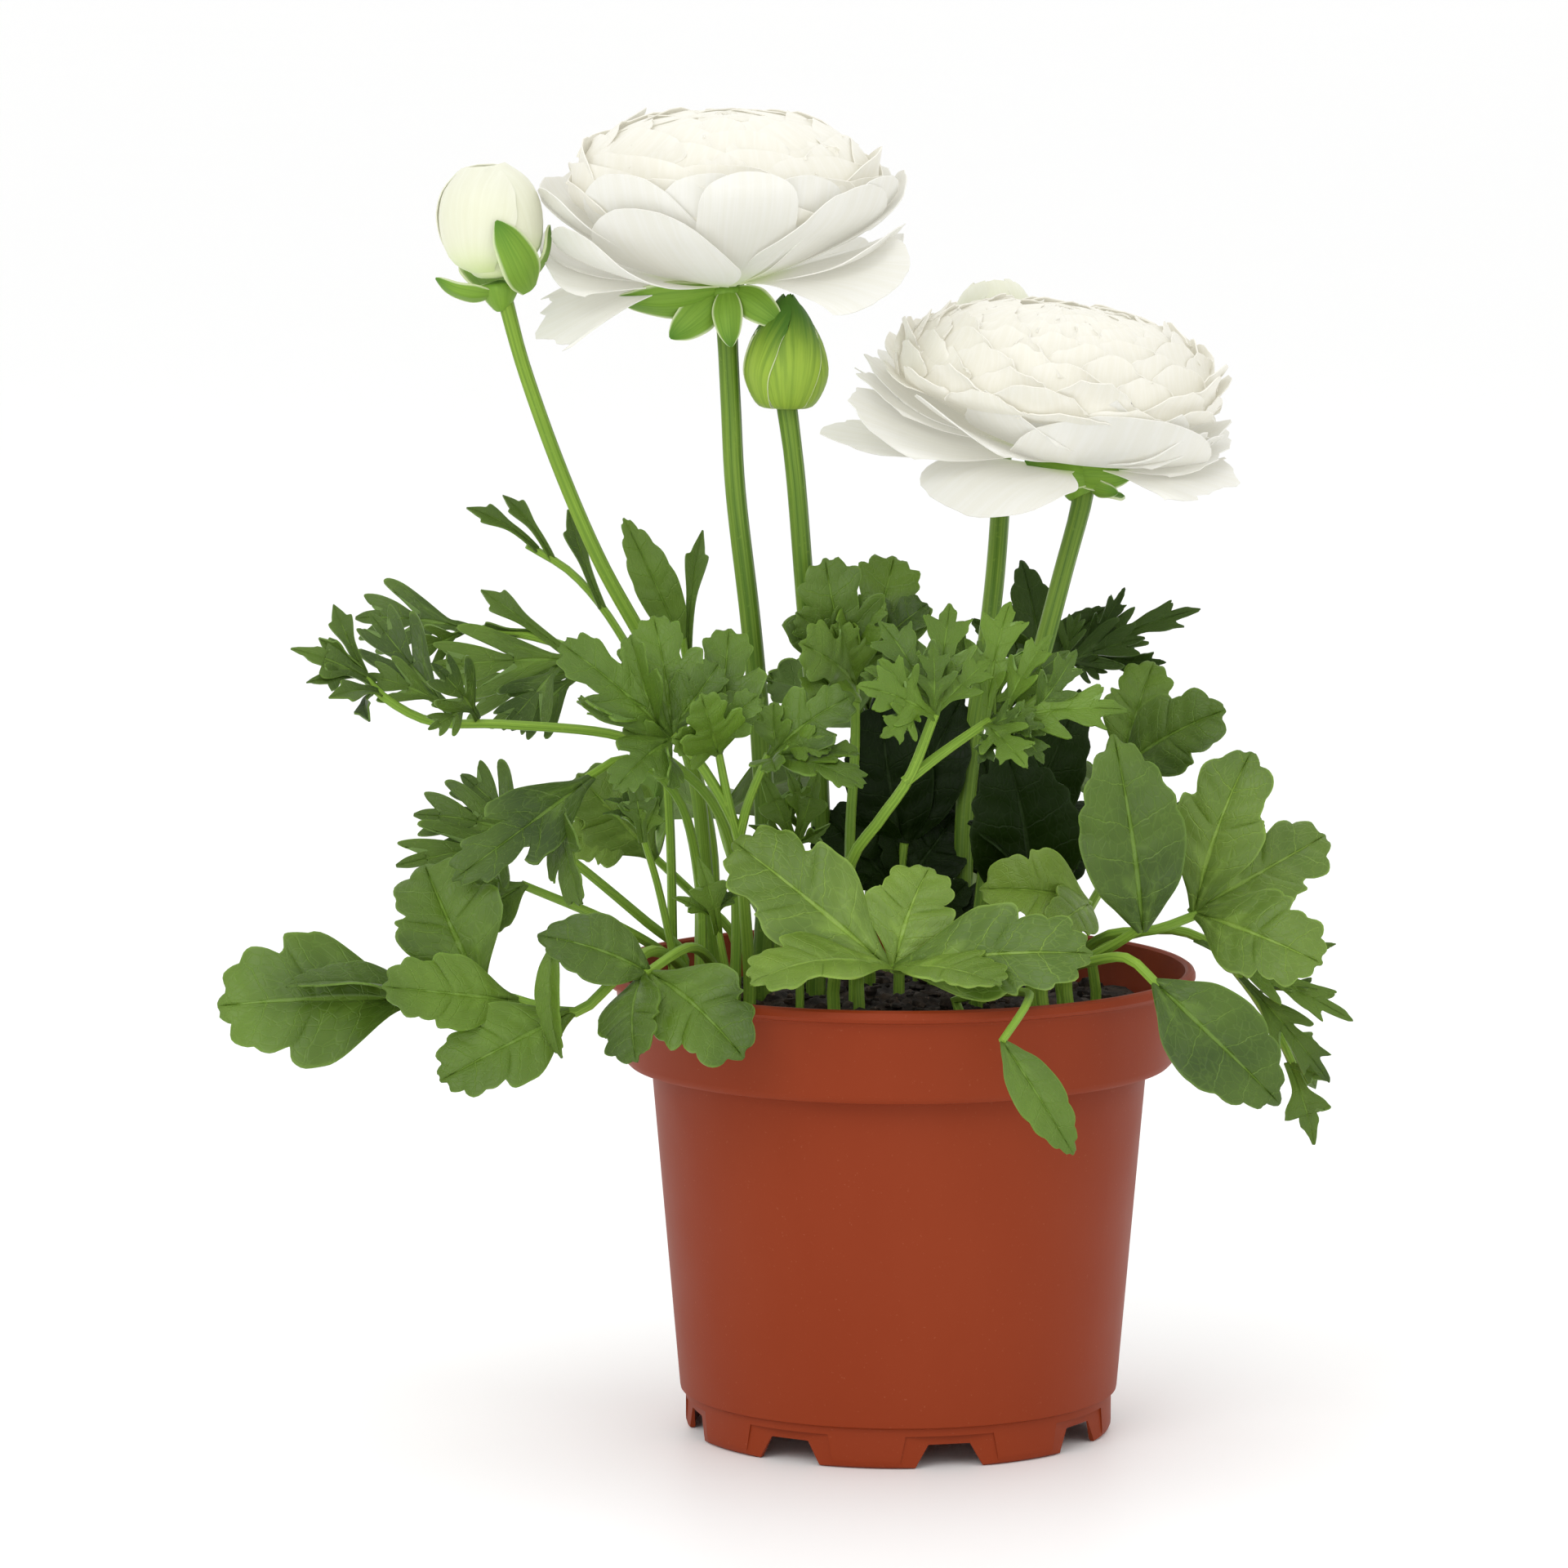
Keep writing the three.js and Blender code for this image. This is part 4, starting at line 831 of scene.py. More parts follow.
# All points are in the pot's own frame, in millimetres
LEAVES = (
    Leaf("far_left", MIDDLE, 0, (
        Stalk(1.2, ((-43, -18, 96), (-49, -30, 102), (-56, -42, 98), (-63, -44, 92), (-71, -44, 93),
                    (-81, -42, 95), (-98, -42, 94))),
    ), (
        Blade(FAN, (-96, -42, 94), (-134, -50, 94), 14, 4),
        Blade(OVAL, (-92, -43, 94), (-120, -56, 99), 5, 2, 2, facing=SKY),
        Blade(FAN, (-82, -42, 95), (-94, -34, 120), 11, 5, 3),
        Blade(FAN, (-75, -44, 94), (-101, -58, 99), 8),
        Blade(FAN, (-64, -44, 92), (-90, -56, 80), 9, 3),
    )),
    Leaf("front_left", MIDDLE, 0, (
        Stalk(1.2, ((-36, -14, 94), (-41, -32, 103), (-50, -48, 100))),
    ), (
        Blade(FAN, (-49, -47, 100), (-30, -65, 86), 10, 3),
        Blade(OVAL, (-49, -47, 100), (-71, -50, 108), 7, 3),
        Blade(FAN, (-50, -47, 100), (-51, -64, 85), 8, facing=LEFT),
        Blade(OVAL, (-67, -50, 108), (-66, -54, 84), 3.4, facing=LEFT),
    )),
    Leaf("front_mid", PALE, 0, (
        Stalk(1.2, ((-8, -12, 95), (-4, -32, 100), (-1, -47, 101))),
    ), (
        Blade(FAN, (-2, -46, 101), (-33, -36, 125), 11, 3),
        Blade(FAN, (-1, -46, 101), (6, -38, 120), 9),
        *spray(FAN, (-1, -48, 101), ((-29, -65, 101), 10, 3), ((20, -68, 101), 8), facing=SKY),
        Blade(FAN, (-1, -47, 101), (38, -59, 106), 10, 4),
    )),
    Leaf("front_hanging", MIDDLE, 0, (
        Stalk(1, ((12, -20, 91), (24, -44, 96), (25, -60, 96.4), (20, -68, 90))),
    ), (
        Blade(OVAL, (20, -67.6, 90), (34, -70.4, 68), 5, 1.6),
    )),
    Leaf("right_ternate", PALE, 0, (
        Stalk(1.2, ((33, -6, 94), (41, -16, 103), (51, -20, 105), (60, -18, 108))),
    ), (
        *spray(FAN, (59, -18, 108), ((70, -20, 141), 9.5), ((84, -33, 100), 10, 3)),
        Blade(FAN, (58, -18, 108), (86, -4, 122), 9),
    )),
    Leaf("right_oval", MIDDLE, 0, (
        Stalk(1.2, ((34, -17, 96), (42, -30, 103), (48, -37, 108))),
    ), (
        Blade(OVAL, (48, -37, 107), (42, -41, 147), 10.5, 3),
    )),
    Leaf("right_drooping", MIDDLE, 0, (
        Stalk(1.2, ((29, -24, 96), (38, -36, 101), (45, -46, 103), (51, -50, 98))),
    ), (
        Blade(OVAL, (50, -50, 99), (75, -52, 75), 10, 3),
    )),
    Leaf("right_cut", MIDDLE, 1, (
        Stalk(1.1, ((40, 6, 97), (52, 8, 101), (62, 7, 99), (70, 4, 91), (76, 2, 82), (80, 0, 74),
                    (82, -2, 66))),
    ), (
        Blade(CUT, (60, 7, 99), (92, -4, 84), 5, 3),
        Blade(STRAP, (64, 6, 97), (84, 12, 95), 2.6),
        Blade(CUT, (69, 4, 92), (87, -8, 72), 5),
        Blade(TREFOIL, (79, 0, 75), (84, -6, 59), 5),
        Blade(STRAP, (76, 2, 82), (85, 9, 68), 2.4),
    )),
    Leaf("right_upper", MIDDLE, 0, (
        Stalk(1.1, ((27, 22, 98), (33, 22, 105), (40, 22, 121), (45, 20, 133))),
    ), (
        *spray(FAN, (45, 20, 132), ((66, 8, 146), 8.5), ((52, 25, 154), 7)),
    )),
    Leaf("right_back_cut", SHADED, 2, (
        Stalk(1.1, ((20, 31, 91), (23, 34, 117), (27, 37, 137), (33, 36, 152))),
    ), (
        Blade(CUT, (32, 36, 151), (62, 34, 164), 4.6),
        Blade(FORKED, (32, 36, 151), (50, 24, 159), 5.5),
        Blade(OVAL, (30, 37, 146), (25, 44, 173), 5),
    )),
    Leaf("upper_middle", MIDDLE, 2, (
        Stalk(1.2, ((-9, -2, 92), (-10, 0, 118), (-9, 2, 138), (-9, 2, 152))),
    ), (
        *spray(LOBED, (-9, 2, 151), ((-15, -5, 178), 10.5), ((-1, 12, 177), 10.5), ((-20, -16, 162), 10.5)),
    )),
    Leaf("centre_cut", CROWN, 3, (
        Stalk(1.3, ((-13, -20, 94), (-10, -27, 118), (-4, -30, 128), (2, -32, 137), (7, -34, 150))),
        Stalk(1.1, ((1, -32, 136), (9, -30, 142), (18, -28, 148))),
    ), (
        *spray(CUT, (7, -34, 149), ((-4, -30, 168), 7), ((10, -24, 171), 7), ((-8, -46, 157), 7)),
        *spray(CUT, (17, -28, 147), ((22, -20, 171), 7), ((25, -46, 141), 6), ((45, -34, 151), 7)),
        Blade(TREFOIL, (17, -28, 147), (34, -18, 161), 6),
    )),
    Leaf("left_cluster", CROWN, 2, (
        Stalk(1.3, ((-30, -16, 95), (-31, -20, 111), (-32, -22, 124), (-39, -26, 138), (-45, -28, 145))),
        Stalk(1, ((-32, -22, 123), (-34, -24, 131), (-36, -27, 142))),
        Stalk(1, ((-32, -22, 123), (-30, -24, 131), (-26, -27, 141))),
    ), (
        *spray(LOBED, (-45, -28, 144), ((-67, -34, 164), 8), ((-49, -20, 168), 8), ((-56, -44, 136), 6)),
        *spray(LOBED, (-36, -27, 141), ((-39, -43, 155), 7), ((-34, -16, 165), 8)),
        Blade(LOBED, (-26, -27, 140), (-9, -28, 153), 7),
        Blade(LOBED, (-26, -27, 140), (-7, -40, 136), 7, facing=SKY),
    )),
    Leaf("left_cut_low", MIDDLE, 1, (
        Stalk(1.1, ((-33, -6, 113), (-36, -8, 126), (-43, -10, 135), (-56, -14, 143), (-79, -20, 146),
                    (-93, -24, 147), (-103, -28, 153), (-108, -30, 160))),
    ), (
        Blade(STRAP, (-106, -29, 157), (-112, -29, 171), 2.6),
        Blade(TREFOIL, (-104, -28, 155), (-120, -36, 163), 4.5),
        Blade(STRAP, (-103, -28, 153), (-112, -42, 154), 2.6),
        Blade(FORKED, (-88, -22, 147), (-106, -14, 168), 7),
        Blade(FORKED, (-84, -21, 147), (-92, -36, 160), 6),
    )),
    Leaf("left_cut_high", MIDDLE, 1, (
        Stalk(1.1, ((-38, 14, 116), (-43, 12, 137), (-52, 9, 149), (-61, 7, 156), (-75, 6, 161),
                    (-86, 3, 162))),
    ), (
        Blade(FORKED, (-85, 3, 162), (-110, 2, 165), 8),
        Blade(STRAP, (-68, 6, 158), (-85, 10, 170), 2.8),
        Blade(FORKED, (-62, 7, 156), (-95, -7, 156), 8),
        Blade(FORKED, (-60, 7, 155), (-90, 12, 147), 8),
    )),
    Leaf("left_fork", MIDDLE, 0, (
        Stalk(1, ((-46, 8, 92), (-47, 8, 130), (-51, 6, 150), (-58, 4, 164), (-66, 2, 174), (-75, 0, 180))),
    ), (
        Blade(STRAP, (-73, 0, 179), (-87, -4, 188), 2.2),
        Blade(STRAP, (-70, 1, 177), (-80, 2, 190), 2),
        Blade(STRAP, (-60, 3, 167), (-67, 4, 187), 2.4),
    )),
    Leaf("left_strap", MIDDLE, 0, (
        Stalk(1, ((-41, 20, 120), (-42, 14, 145), (-44, 10, 160))),
    ), (
        Blade(OVAL, (-44, 11, 158), (-56, 8, 185), 4.5),
        Blade(STRAP, (-43, 12, 156), (-40, 14, 182), 2.4),
    )),
    Leaf("left_middle", MIDDLE, 1, (
        Stalk(1.1, ((-44, 1, 97), (-51, -4, 104), (-66, -13, 118), (-74, -15, 123))),
    ), (
        *spray(FORKED, (-73, -15, 122), ((-88, -11, 135), 7.5), ((-97, -20, 128), 7.5)),
        Blade(FORKED, (-72, -15, 122), (-100, -30, 119), 7.5),
    )),
    Leaf("left_arching", MIDDLE, 1, (
        Stalk(1.1, ((-40, -8, 110), (-44, -14, 130), (-54, -19, 139), (-62, -24, 136))),
    ), (
        Blade(LOBED, (-61, -24, 136), (-88, -46, 118), 8, 4),
    )),
    Leaf("left_low", MIDDLE, 0, (
        Stalk(1.1, ((-46, -4, 96), (-57, -20, 106), (-75, -28, 115))),
    ), (
        Blade(FAN, (-74, -28, 115), (-88, -34, 106), 6),
    )),
    Leaf("left_back", PALE, 1, (
        Stalk(1.1, ((-34, 26, 97), (-42, 27, 105), (-50, 25, 113))),
    ), (
        Blade(FAN, (-50, 25, 113), (-66, 22, 131), 9),
        Blade(FAN, (-50, 25, 113), (-54, 40, 128), 8, facing=REAR),
    )),
    Leaf("dark_heart", DARK, 1, (
        Stalk(1.2, ((7, 22, 95), (12, 21, 104), (20, 20, 111))),
        Stalk(1, ((16, 21, 107), (24, 14, 105), (27, 4, 106))),
    ), (
        Blade(OVAL, (27, 2, 105), (21, -14, 142), 11.5, 3),
        Blade(OVAL, (21, 21, 112), (37, 20, 149), 8, 3),
        Blade(FAN, (20, 20, 108), (42, 26, 122), 9),
        Blade(OVAL, (20, 21, 109), (10, 24, 132), 8),
    )),
    Leaf("middle_dark", DARK, 1, (
        Stalk(1.2, ((0, 10, 92), (0, 12, 108), (1, 12, 118))),
    ), (
        Blade(OVAL, (1, 14, 116), (-4, 12, 149), 9, 3),
        Blade(OVAL, (1, 14, 117), (13, 17, 148), 8, 3),
        Blade(FAN, (0, 13, 108), (12, 16, 124), 8),
        Blade(FAN, (0, 13, 107), (-16, 14, 124), 9),
        Blade(FAN, (0, 12, 100), (22, 8, 106), 7),
    )),
    Leaf("curled_old", PALE, 0, (
        Stalk(1.1, ((27, -12, 96), (34, -13, 103), (38, -14, 110))),
    ), (
        Blade(FAN, (38, -14, 109), (16, -19, 113), 8, 5, 4),
        Blade(FAN, (38, -14, 109), (30, -28, 106), 6, facing=RIGHT),
    )),
    Leaf("young_left", CROWN, 3, (
        Stalk(0.9, ((-45, -13, 96), (-48, -17, 112), (-51, -24, 124))),
    ), (
        Blade(TREFOIL, (-51, -24, 123), (-53, -27, 137), 4),
    )),
    Leaf("young_middle", CROWN, 3, (
        Stalk(0.9, ((-20, -6, 110), (-21, -10, 121))),
    ), (
        *spray(TREFOIL, (-21, -10, 120), ((-28, -14, 136), 4), ((-16, -13, 137), 4)),
    )),
    Leaf("young_front", CROWN, 2, (
        Stalk(0.9, ((-34, -24, 94), (-36, -27, 106))),
    ), (
        Blade(TREFOIL, (-36, -27, 105), (-40, -30, 121), 4),
    )),
    Leaf("back_left", MIDDLE, 0, (
        Stalk(1.2, ((-26, 34, 96), (-34, 48, 108), (-38, 60, 118))),
    ), (
        *spray(FAN, (-38, 60, 117), ((-44, 88, 120), 11), ((-64, 60, 124), 10), ((-16, 68, 126), 9),
               facing=REAR),
    )),
    Leaf("back_middle", MIDDLE, 3, (
        Stalk(1.2, ((-6, 28, 97), (-6, 36, 118), (-6, 44, 138))),
    ), (
        *spray(FAN, (-6, 44, 137), ((-10, 66, 152), 10), ((-28, 48, 148), 9), ((15, 54, 146), 9),
               facing=REAR),
    )),
    Leaf("back_right", MIDDLE, 1, (
        Stalk(1.2, ((34, 32, 92), (44, 44, 108), (50, 52, 114))),
    ), (
        *spray(FAN, (50, 52, 113), ((66, 74, 112), 11), ((76, 44, 118), 9), ((38, 72, 122), 9), facing=REAR),
    )),
    Leaf("back_low", MIDDLE, 1, (
        Stalk(1.2, ((4, 38, 92), (6, 54, 104), (6, 66, 104))),
    ), (
        *spray(FAN, (6, 66, 104), ((8, 94, 92), 11), ((-19, 78, 102), 9), ((30, 76, 104), 9), facing=REAR),
    )),
)


@dataclass
class Foliage:
    """All the leaves: stalks from the soil and toothed, veined leaflets on them."""

    grids: Grids
    thickness: float = 0.42
    seed: int = 71
    finishes: dict[Tone, tuple[Material, ...]] = field(default_factory=dict)

    def mix(self) -> None:
        """Makes the finishes of the stalks and of both sides of every tone's blades."""
        stalk = StalkFinish("leaf_stalk_green", (0.270, 0.420, 0.052), (0.140, 0.265, 0.026)).make()
        for tone in Tone:
            lit, deep, gloss, _ = tone.value
            word = tone.name.lower()
            vein = tuple(1.5 * value + 0.015 for value in lit)
            grey = tuple(lit[1] / 0.16 * value for value in (0.22, 0.34, 0.13))
            pale = tuple(0.7 * value + 0.3 * other for value, other in zip(lit, grey))
            below, net = (tuple(factor * value for value in pale) for factor in (0.7, 1.5))
            self.finishes[tone] = (LeafFinish(f"leaf_upper_{word}", lit, deep, vein, gloss).make(),
                                   LeafFinish(f"leaf_underside_{word}", pale, below, net, gloss, 0.6).make(),
                                   stalk)

    def build(self) -> None:
        """Builds every leaf and reports it."""
        self.mix()
        for leaf in LEAVES:
            self.grow(leaf)

    def grow(self, leaf: Leaf) -> None:
        """Builds one leaf: its blades, the small lobes by them, and its stalks."""
        node = f"leaf_{leaf.name}"
        draw, blade_shade_draw = random.Random(f"{self.seed}{node}"), random.Random(node)
        materials = self.finishes[leaf.tone]
        laid = []
        for blade in [*leaf.blades, *self.ruffle(leaf, draw)]:
            columns, rows = blade.outline.value.cells
            if blade.small:
                columns, rows = columns * 3 // 5, rows * 2 // 3
            sheet = self.grids.lay(columns, rows, blade.surface(draw))
            # Each blade gets its own random painted shade, as if it were lit more or less than the next.
            shade = sheet.data.attributes.new(SHADE, "FLOAT", "POINT")
            shade.data.foreach_set("value", np.full(len(sheet.data.vertices), blade_shade_draw.random()))
            laid.append(dress(sheet, materials))
        blades = joined("blades", laid)
        modify(blades, "SOLIDIFY", thickness=self.thickness * MM, offset=0, material_offset=1)
        stalks = []
        for i, stalk in enumerate(leaf.stalks):
            points = stalk.points if i else rooted(stalk.points)
            stalks.append(dress(self.stem(points, stalk.radius), materials, 2))
        whole = smoothed(joined(f"foliage_{leaf.name}", [blades, *stalks]))
        declare(whole, leaf.tone.value[3], node)

    @staticmethod
    def ruffle(leaf: Leaf, draw: random.Random) -> list[Blade]:
        """Small lobes that crowd round the foot of each blade of a leaf.

        Args:
            leaf: The leaf whose blades they stand by.
            draw: The seeded source of their sizes and directions.

        Returns:
            The small lobes.
        """
        made = []
        for blade in leaf.blades:
            base, along, facing = blade.axes()
            length = float(np.linalg.norm(along))
            side = unit(np.cross(along, facing)) * length
            for i in range(leaf.ruffles):
                share = draw.uniform(0.42, 0.66)
                turn = math.radians((1 if i % 2 else -1) * draw.uniform(28, 62))
                lift = unit(facing) * length * draw.uniform(0.05, 0.4)
                aim = along * math.cos(turn) + side * math.sin(turn) + lift
                foot = base + along * draw.uniform(0.04, 0.3)
                look = facing + [draw.uniform(-0.6, 0.6) for _ in range(3)]
                half_width = blade.half_width * (share + 0.12)
                made.append(Blade(blade.outline, foot, foot + aim * share, half_width, 1.2, 1.4, look, True))
        return made

    def stem(self, points: Sequence[Point], thick: float) -> Piece:
        """One stalk, a little thicker at its foot and thinner where the blades start."""
        def radius(share: Array) -> Array:
            """The radius at a share of the length."""
            return thick * (1.06 - 0.28 * share)

        return self.grids.tube(points, radius, sides=10, step=3.2, ridges=5, groove=0.04)


# Flowers and buds


class Seat(Enum):
    """Where each flower head sits on its stem, and how its axis leans."""

    LEFT_BLOOM = ((-35, 0, 232), (0, -0.1, 1))
    RIGHT_BLOOM = ((36, 4, 194), (0.13, -0.08, 1))
    WHITE_BUD = ((-80, -10, 233), (-0.12, 0, 1))
    BACK_BUD = ((20, 50, 216), (-0.1, 0.1, 1))
    GREEN_BUD = ((-23, -2, 208), (0.02, 0, 1))


PETAL_FOOT = 0.16
FULL_WIDTH_FROM = 0.7


@dataclass(frozen=True)
class Petal:
    """A petal in its head's own frame.

    Its profile runs from root to tip as (radius, height). It looks towards turn, in degrees,
    and wrap says how far it bends round the head's axis.
    """

    turn: float
    profile: Profile
    half_width: float
    wrap: float = 1
    wave: float = 0.8
    ragged: float = 0.02
    curl: float = 0.6
    cup: float = 0
    point: float = 0
    tilt: float = 0
    roll: float = 0
    skew: float = 0
    lift: float = 0
    drop: float = 0.42
    waist: float = 1.3

    def surface(self, draw: random.Random) -> Surface:
        """The petal's middle surface, with its own waves and its finely worn edge.

        Args:
            draw: The seeded source of what differs from petal to petal.

        Returns:
            The surface for Grids.lay.
        """
        heading = math.radians(self.turn)
        phase, second, third = (draw.uniform(0, 6.3) for _ in range(3))
        wave, curl = self.wave * draw.uniform(0.6, 1.3), self.curl * draw.uniform(0.4, 1.5)

        def at(u: Array, v: Array) -> Array:
            """Points of the petal at u across and v along."""
            across = np.sin(u * math.pi / 2)
            end = (1 - self.point) * (1 - np.cos(u * math.pi / 2)) + self.point * np.abs(across)
            reach = v * (1 - self.drop * v**1.2 * end) * (1 - self.skew * across * v**2)
            worn = np.sin(7 * u + second) + 0.7 * np.sin(15 * u + third) + 0.5 * np.sin(27 * u + phase)
            reach = reach * (1 - self.ragged * (1 + worn) * v**4 * 0.6)
            radius, height = through(self.profile, reach).T
            opened = np.sin(np.minimum(v / FULL_WIDTH_FROM, 1) * math.pi / 2) ** self.waist
            spread = opened * (1 - PETAL_FOOT) + PETAL_FOOT
            taper = 1 - 0.3 * self.point * np.maximum(0, (v - 0.5) / 0.5) ** 2
            offset = across * self.half_width * spread * taper
            swell = wave * np.sin(2.6 * u + phase + 1.5 * v) * v**3
            radius = radius + swell + curl * v**6 + self.tilt * across * v
            height = height + 0.5 * wave * np.sin(4.3 * u + second) * v**3
            height = height + 0.2 * np.cos(11 * u + third) * np.clip(v - 0.3, 0, 1) * self.wave
            bend = np.clip(self.wrap * offset / np.maximum(radius, 3), -1.4, 1.4)
            angle = heading + bend + self.roll * v
            flat = (1 - self.wrap) * offset
            return np.stack([radius * np.cos(angle) - flat * math.sin(heading),
                             radius * np.sin(angle) + flat * math.cos(heading),
                             height + self.cup * across**2 * v + self.lift * across * v**1.3], axis=1)

        return at


def ring(count: int, turn: float, profile: Profile, half_width: float, wave: float, ragged: float,
         **shape: float) -> tuple[Petal, ...]:
    """So many alike uncurled petals in a ring, the first one at a turn in degrees."""
    rest = (profile, half_width, 1, wave, ragged, 0)
    return tuple(Petal(turn + i * 360 / count, *rest, **shape) for i in range(count))


@dataclass(frozen=True)
class Dome:
    """The close petals over a rounded head, set in a spiral, each one rising from inside those before it."""

    radius: float
    foot: float
    rise: float
    squareness: float
    count: int
    first: float
    width: float
    point: float
    wave: float
    ragged: float
    curl: float
    flare: float
    flared: float
    length: float
    under: float
    drop: float
    crowd: float = 0.84
    depth: float = 2.6
    tilt: float = 0.5
    last: float = 89.6
    golden: float = 137.508
    eye_petals: int = 13
    eye_radius: float = 8

    def edge(self, slope: float, out: float = 0) -> tuple[float, float]:
        """Radius and height at a slope in degrees, so far out from the head's surface."""
        if slope < 0:
            share = -slope / 90
            return max(self.radius * (1 - share**1.2) + out, 0.4), self.foot - self.under * share
        angle = math.radians(slope)
        radius = self.radius * max(math.cos(angle), 0) ** self.squareness
        return max(radius + out * math.cos(angle), 0.4), self.foot + (self.rise + out) * math.sin(angle)

    def core(self) -> Profile:
        """The profile of the full body that the petals lie on."""
        slopes = (-76, -50, -24, -6, 10, 24, 40, 54, 66, 76, 84)
        rim = tuple(self.edge(slope, -0.5 - self.depth / 2) for slope in slopes)
        return ((0, self.foot - self.under + 0.6), *rim, (0, self.foot + self.rise - 2.2))

    def petals(self, draw: random.Random) -> list[Petal]:
        """Every petal of the spiral.

        Args:
            draw: The seeded source of what differs from petal to petal.

        Returns:
            The petals, from the outermost one inwards.
        """
        made = []
        for i in range(self.count):
            slope = self.first + (self.last - self.first) * ((i + 0.5) / self.count) ** self.crowd
            slope = min(slope + draw.uniform(-2, 2), self.last)
            out = self.flare * draw.random() if draw.random() < self.flared else 0
            out = out * min((90 - slope) / 60, 1) ** 1.5
            deep = self.depth * (1 - 0.6 * slope / 90)
            steps = ((1, -deep), (0.66, -0.6 * deep), (0.33, -0.25 * deep + 0.1 * out), (0, 0.3 + out))
            profile = tuple(self.edge(slope - share * self.length, off) for share, off in steps)
            share = 0.34 + 0.66 * (profile[3][0] / self.radius) ** 0.8
            made.append(Petal(i * self.golden, profile, self.width * share * draw.uniform(0.88, 1.12), 1,
                              self.wave, self.ragged, self.curl, 0, self.point * draw.uniform(0.7, 1.3),
                              self.tilt, draw.uniform(-0.06, 0.06), draw.uniform(-0.08, 0.08),
                              drop=self.drop, waist=0.8))
        return made

    def eye(self) -> list[Petal]:
        """The small upright petals in the middle of an open head."""
        top = self.foot + self.rise
        made = []
        for i in range(self.eye_petals):
            far = self.eye_radius * (1 - 0.8 * i / self.eye_petals)
            profile = ((far + 2, top - 2.6), (far + 1, top - 0.8), (0.72 * far, top + 0.1),
                       (0.3 * far, top + 0.3))
            made.append(Petal(i * self.golden, profile, 0.8 * far + 1.2, 1, 0.25, self.ragged, 0, 0,
                              self.point, 0.3, drop=0.3, waist=0.8))
        return made


@dataclass(frozen=True)
class Head:
    """Where a head sits and what it is made of: a dome, or else a core, and its outer petals."""

    node: str
    name: str
    seat: Seat
    seed: int
    outer: tuple[Petal, ...]
    dome: Dome | None = None
    core: Profile = ()
    shift: Point = (0, 0, 0)


UPPER = ((4, 1), (16, 5.4), (27, 11), (34, 17), (35.6, 22))
LEFT_OUTER = (
    Petal(192, ((8, 1), (22, -0.6), (38.5, -8)), 8, 0.2, 0.4, 0.07, 0, lift=-4.5, drop=0.16),
    Petal(188, ((4, 0.6), (20, 2), (32, 4), (38, 8)), 10, 0.5, 0.5, 0.012, 0, lift=-3),
    Petal(197, ((4, 1), (16, 5), (27, 11), (34, 16.5), (36.5, 21.5)), 13, 0.8, 0.7, 0.014, 0.5),
    Petal(215, ((3, 0.5), (14, 2), (25, 4.5), (33, 9), (37, 15)), 13, 0.55, 0.35, 0.006, 0, lift=-1),
    Petal(241, ((3, 0.5), (12, 3), (22, 7.5), (30, 13.5), (35, 20.5)), 15, 0.6, 0.25, 0.004, 0, tilt=-0.6),
    Petal(235, ((3, 1), (14, 6), (24, 12), (31, 19), (33, 27)), 15, 0.85, 0.5, 0.008, 0.3),
    Petal(266, ((3, 1), (14, 6), (24, 12), (31, 19), (32.6, 28)), 14, 0.9, 0.4, 0.008, 0.2),
    Petal(279, ((3, 0.5), (12, 4), (22, 9.5), (31, 17), (35.4, 24), (35, 28.5)),
          10, 0.75, 0.15, 0.003, 0, drop=0.3, waist=1.6),
    Petal(298, ((3, 1), (14, 6), (24, 12), (31, 19), (33, 27)), 14, 0.9, 0.4, 0.01, 0.3),
    Petal(321, ((3, 1), (13, 5.4), (24, 11), (32, 17), (35.4, 24)), 15, 0.75, 0.4, 0.01, 0.2),
    Petal(325, ((4, 1.2), (18, 4.2), (32, 5.4), (43, 4.8)), 9, 0.25, 0.4, 0.01, 0, lift=6.6, drop=0.3),
    Petal(343, ((4, 1), (18, 4), (30, 8), (37.4, 14.5)), 14, 0.7, 0.7, 0.012, 0.3),
    Petal(333, ((4, 1), (16, 6), (27, 13), (33, 19), (34.6, 25)), 14, 0.85, 0.6, 0.012, 0.5),
    Petal(4, ((4, 1), (16, 6), (27, 12), (34, 18), (36, 23)), 14, 0.8, 0.7, 0.02, 0.5),
    Petal(18, ((4, 0.6), (18, 2), (30, 4), (37, 9)), 13, 0.6),
    Petal(34, ((4, 1), (16, 5.4), (27, 11), (34, 17), (36, 22)), 14, 0.8, 0.7),
    Petal(56, ((4, 0.6), (18, 1.6), (30, 3), (37, 6)), 14, 0.5, cup=2),
    Petal(68, UPPER, 15, 0.8, 0.7),
    Petal(92, ((4, 0.6), (18, 2), (30, 5), (37, 11)), 15, 0.65),
    Petal(104, UPPER, 15, 0.8, 0.7),
    Petal(130, ((4, 0.6), (18, 1.6), (30, 4), (37, 8)), 14, 0.5, cup=2),
    Petal(140, UPPER, 15, 0.8, 0.7),
    Petal(170, ((4, 1), (16, 5.4), (27, 11), (34, 17), (35.6, 21)), 14, 0.8, 0.7),
    Petal(165, ((4, 0.6), (18, 2), (30, 5), (37, 10)), 13, 0.6, 0.7),
    Petal(148, ((22, 14), (26, 23), (24, 30), (19, 34.8)), 8, 0.7, 0.2, 0.02, 0, point=0.7),
)
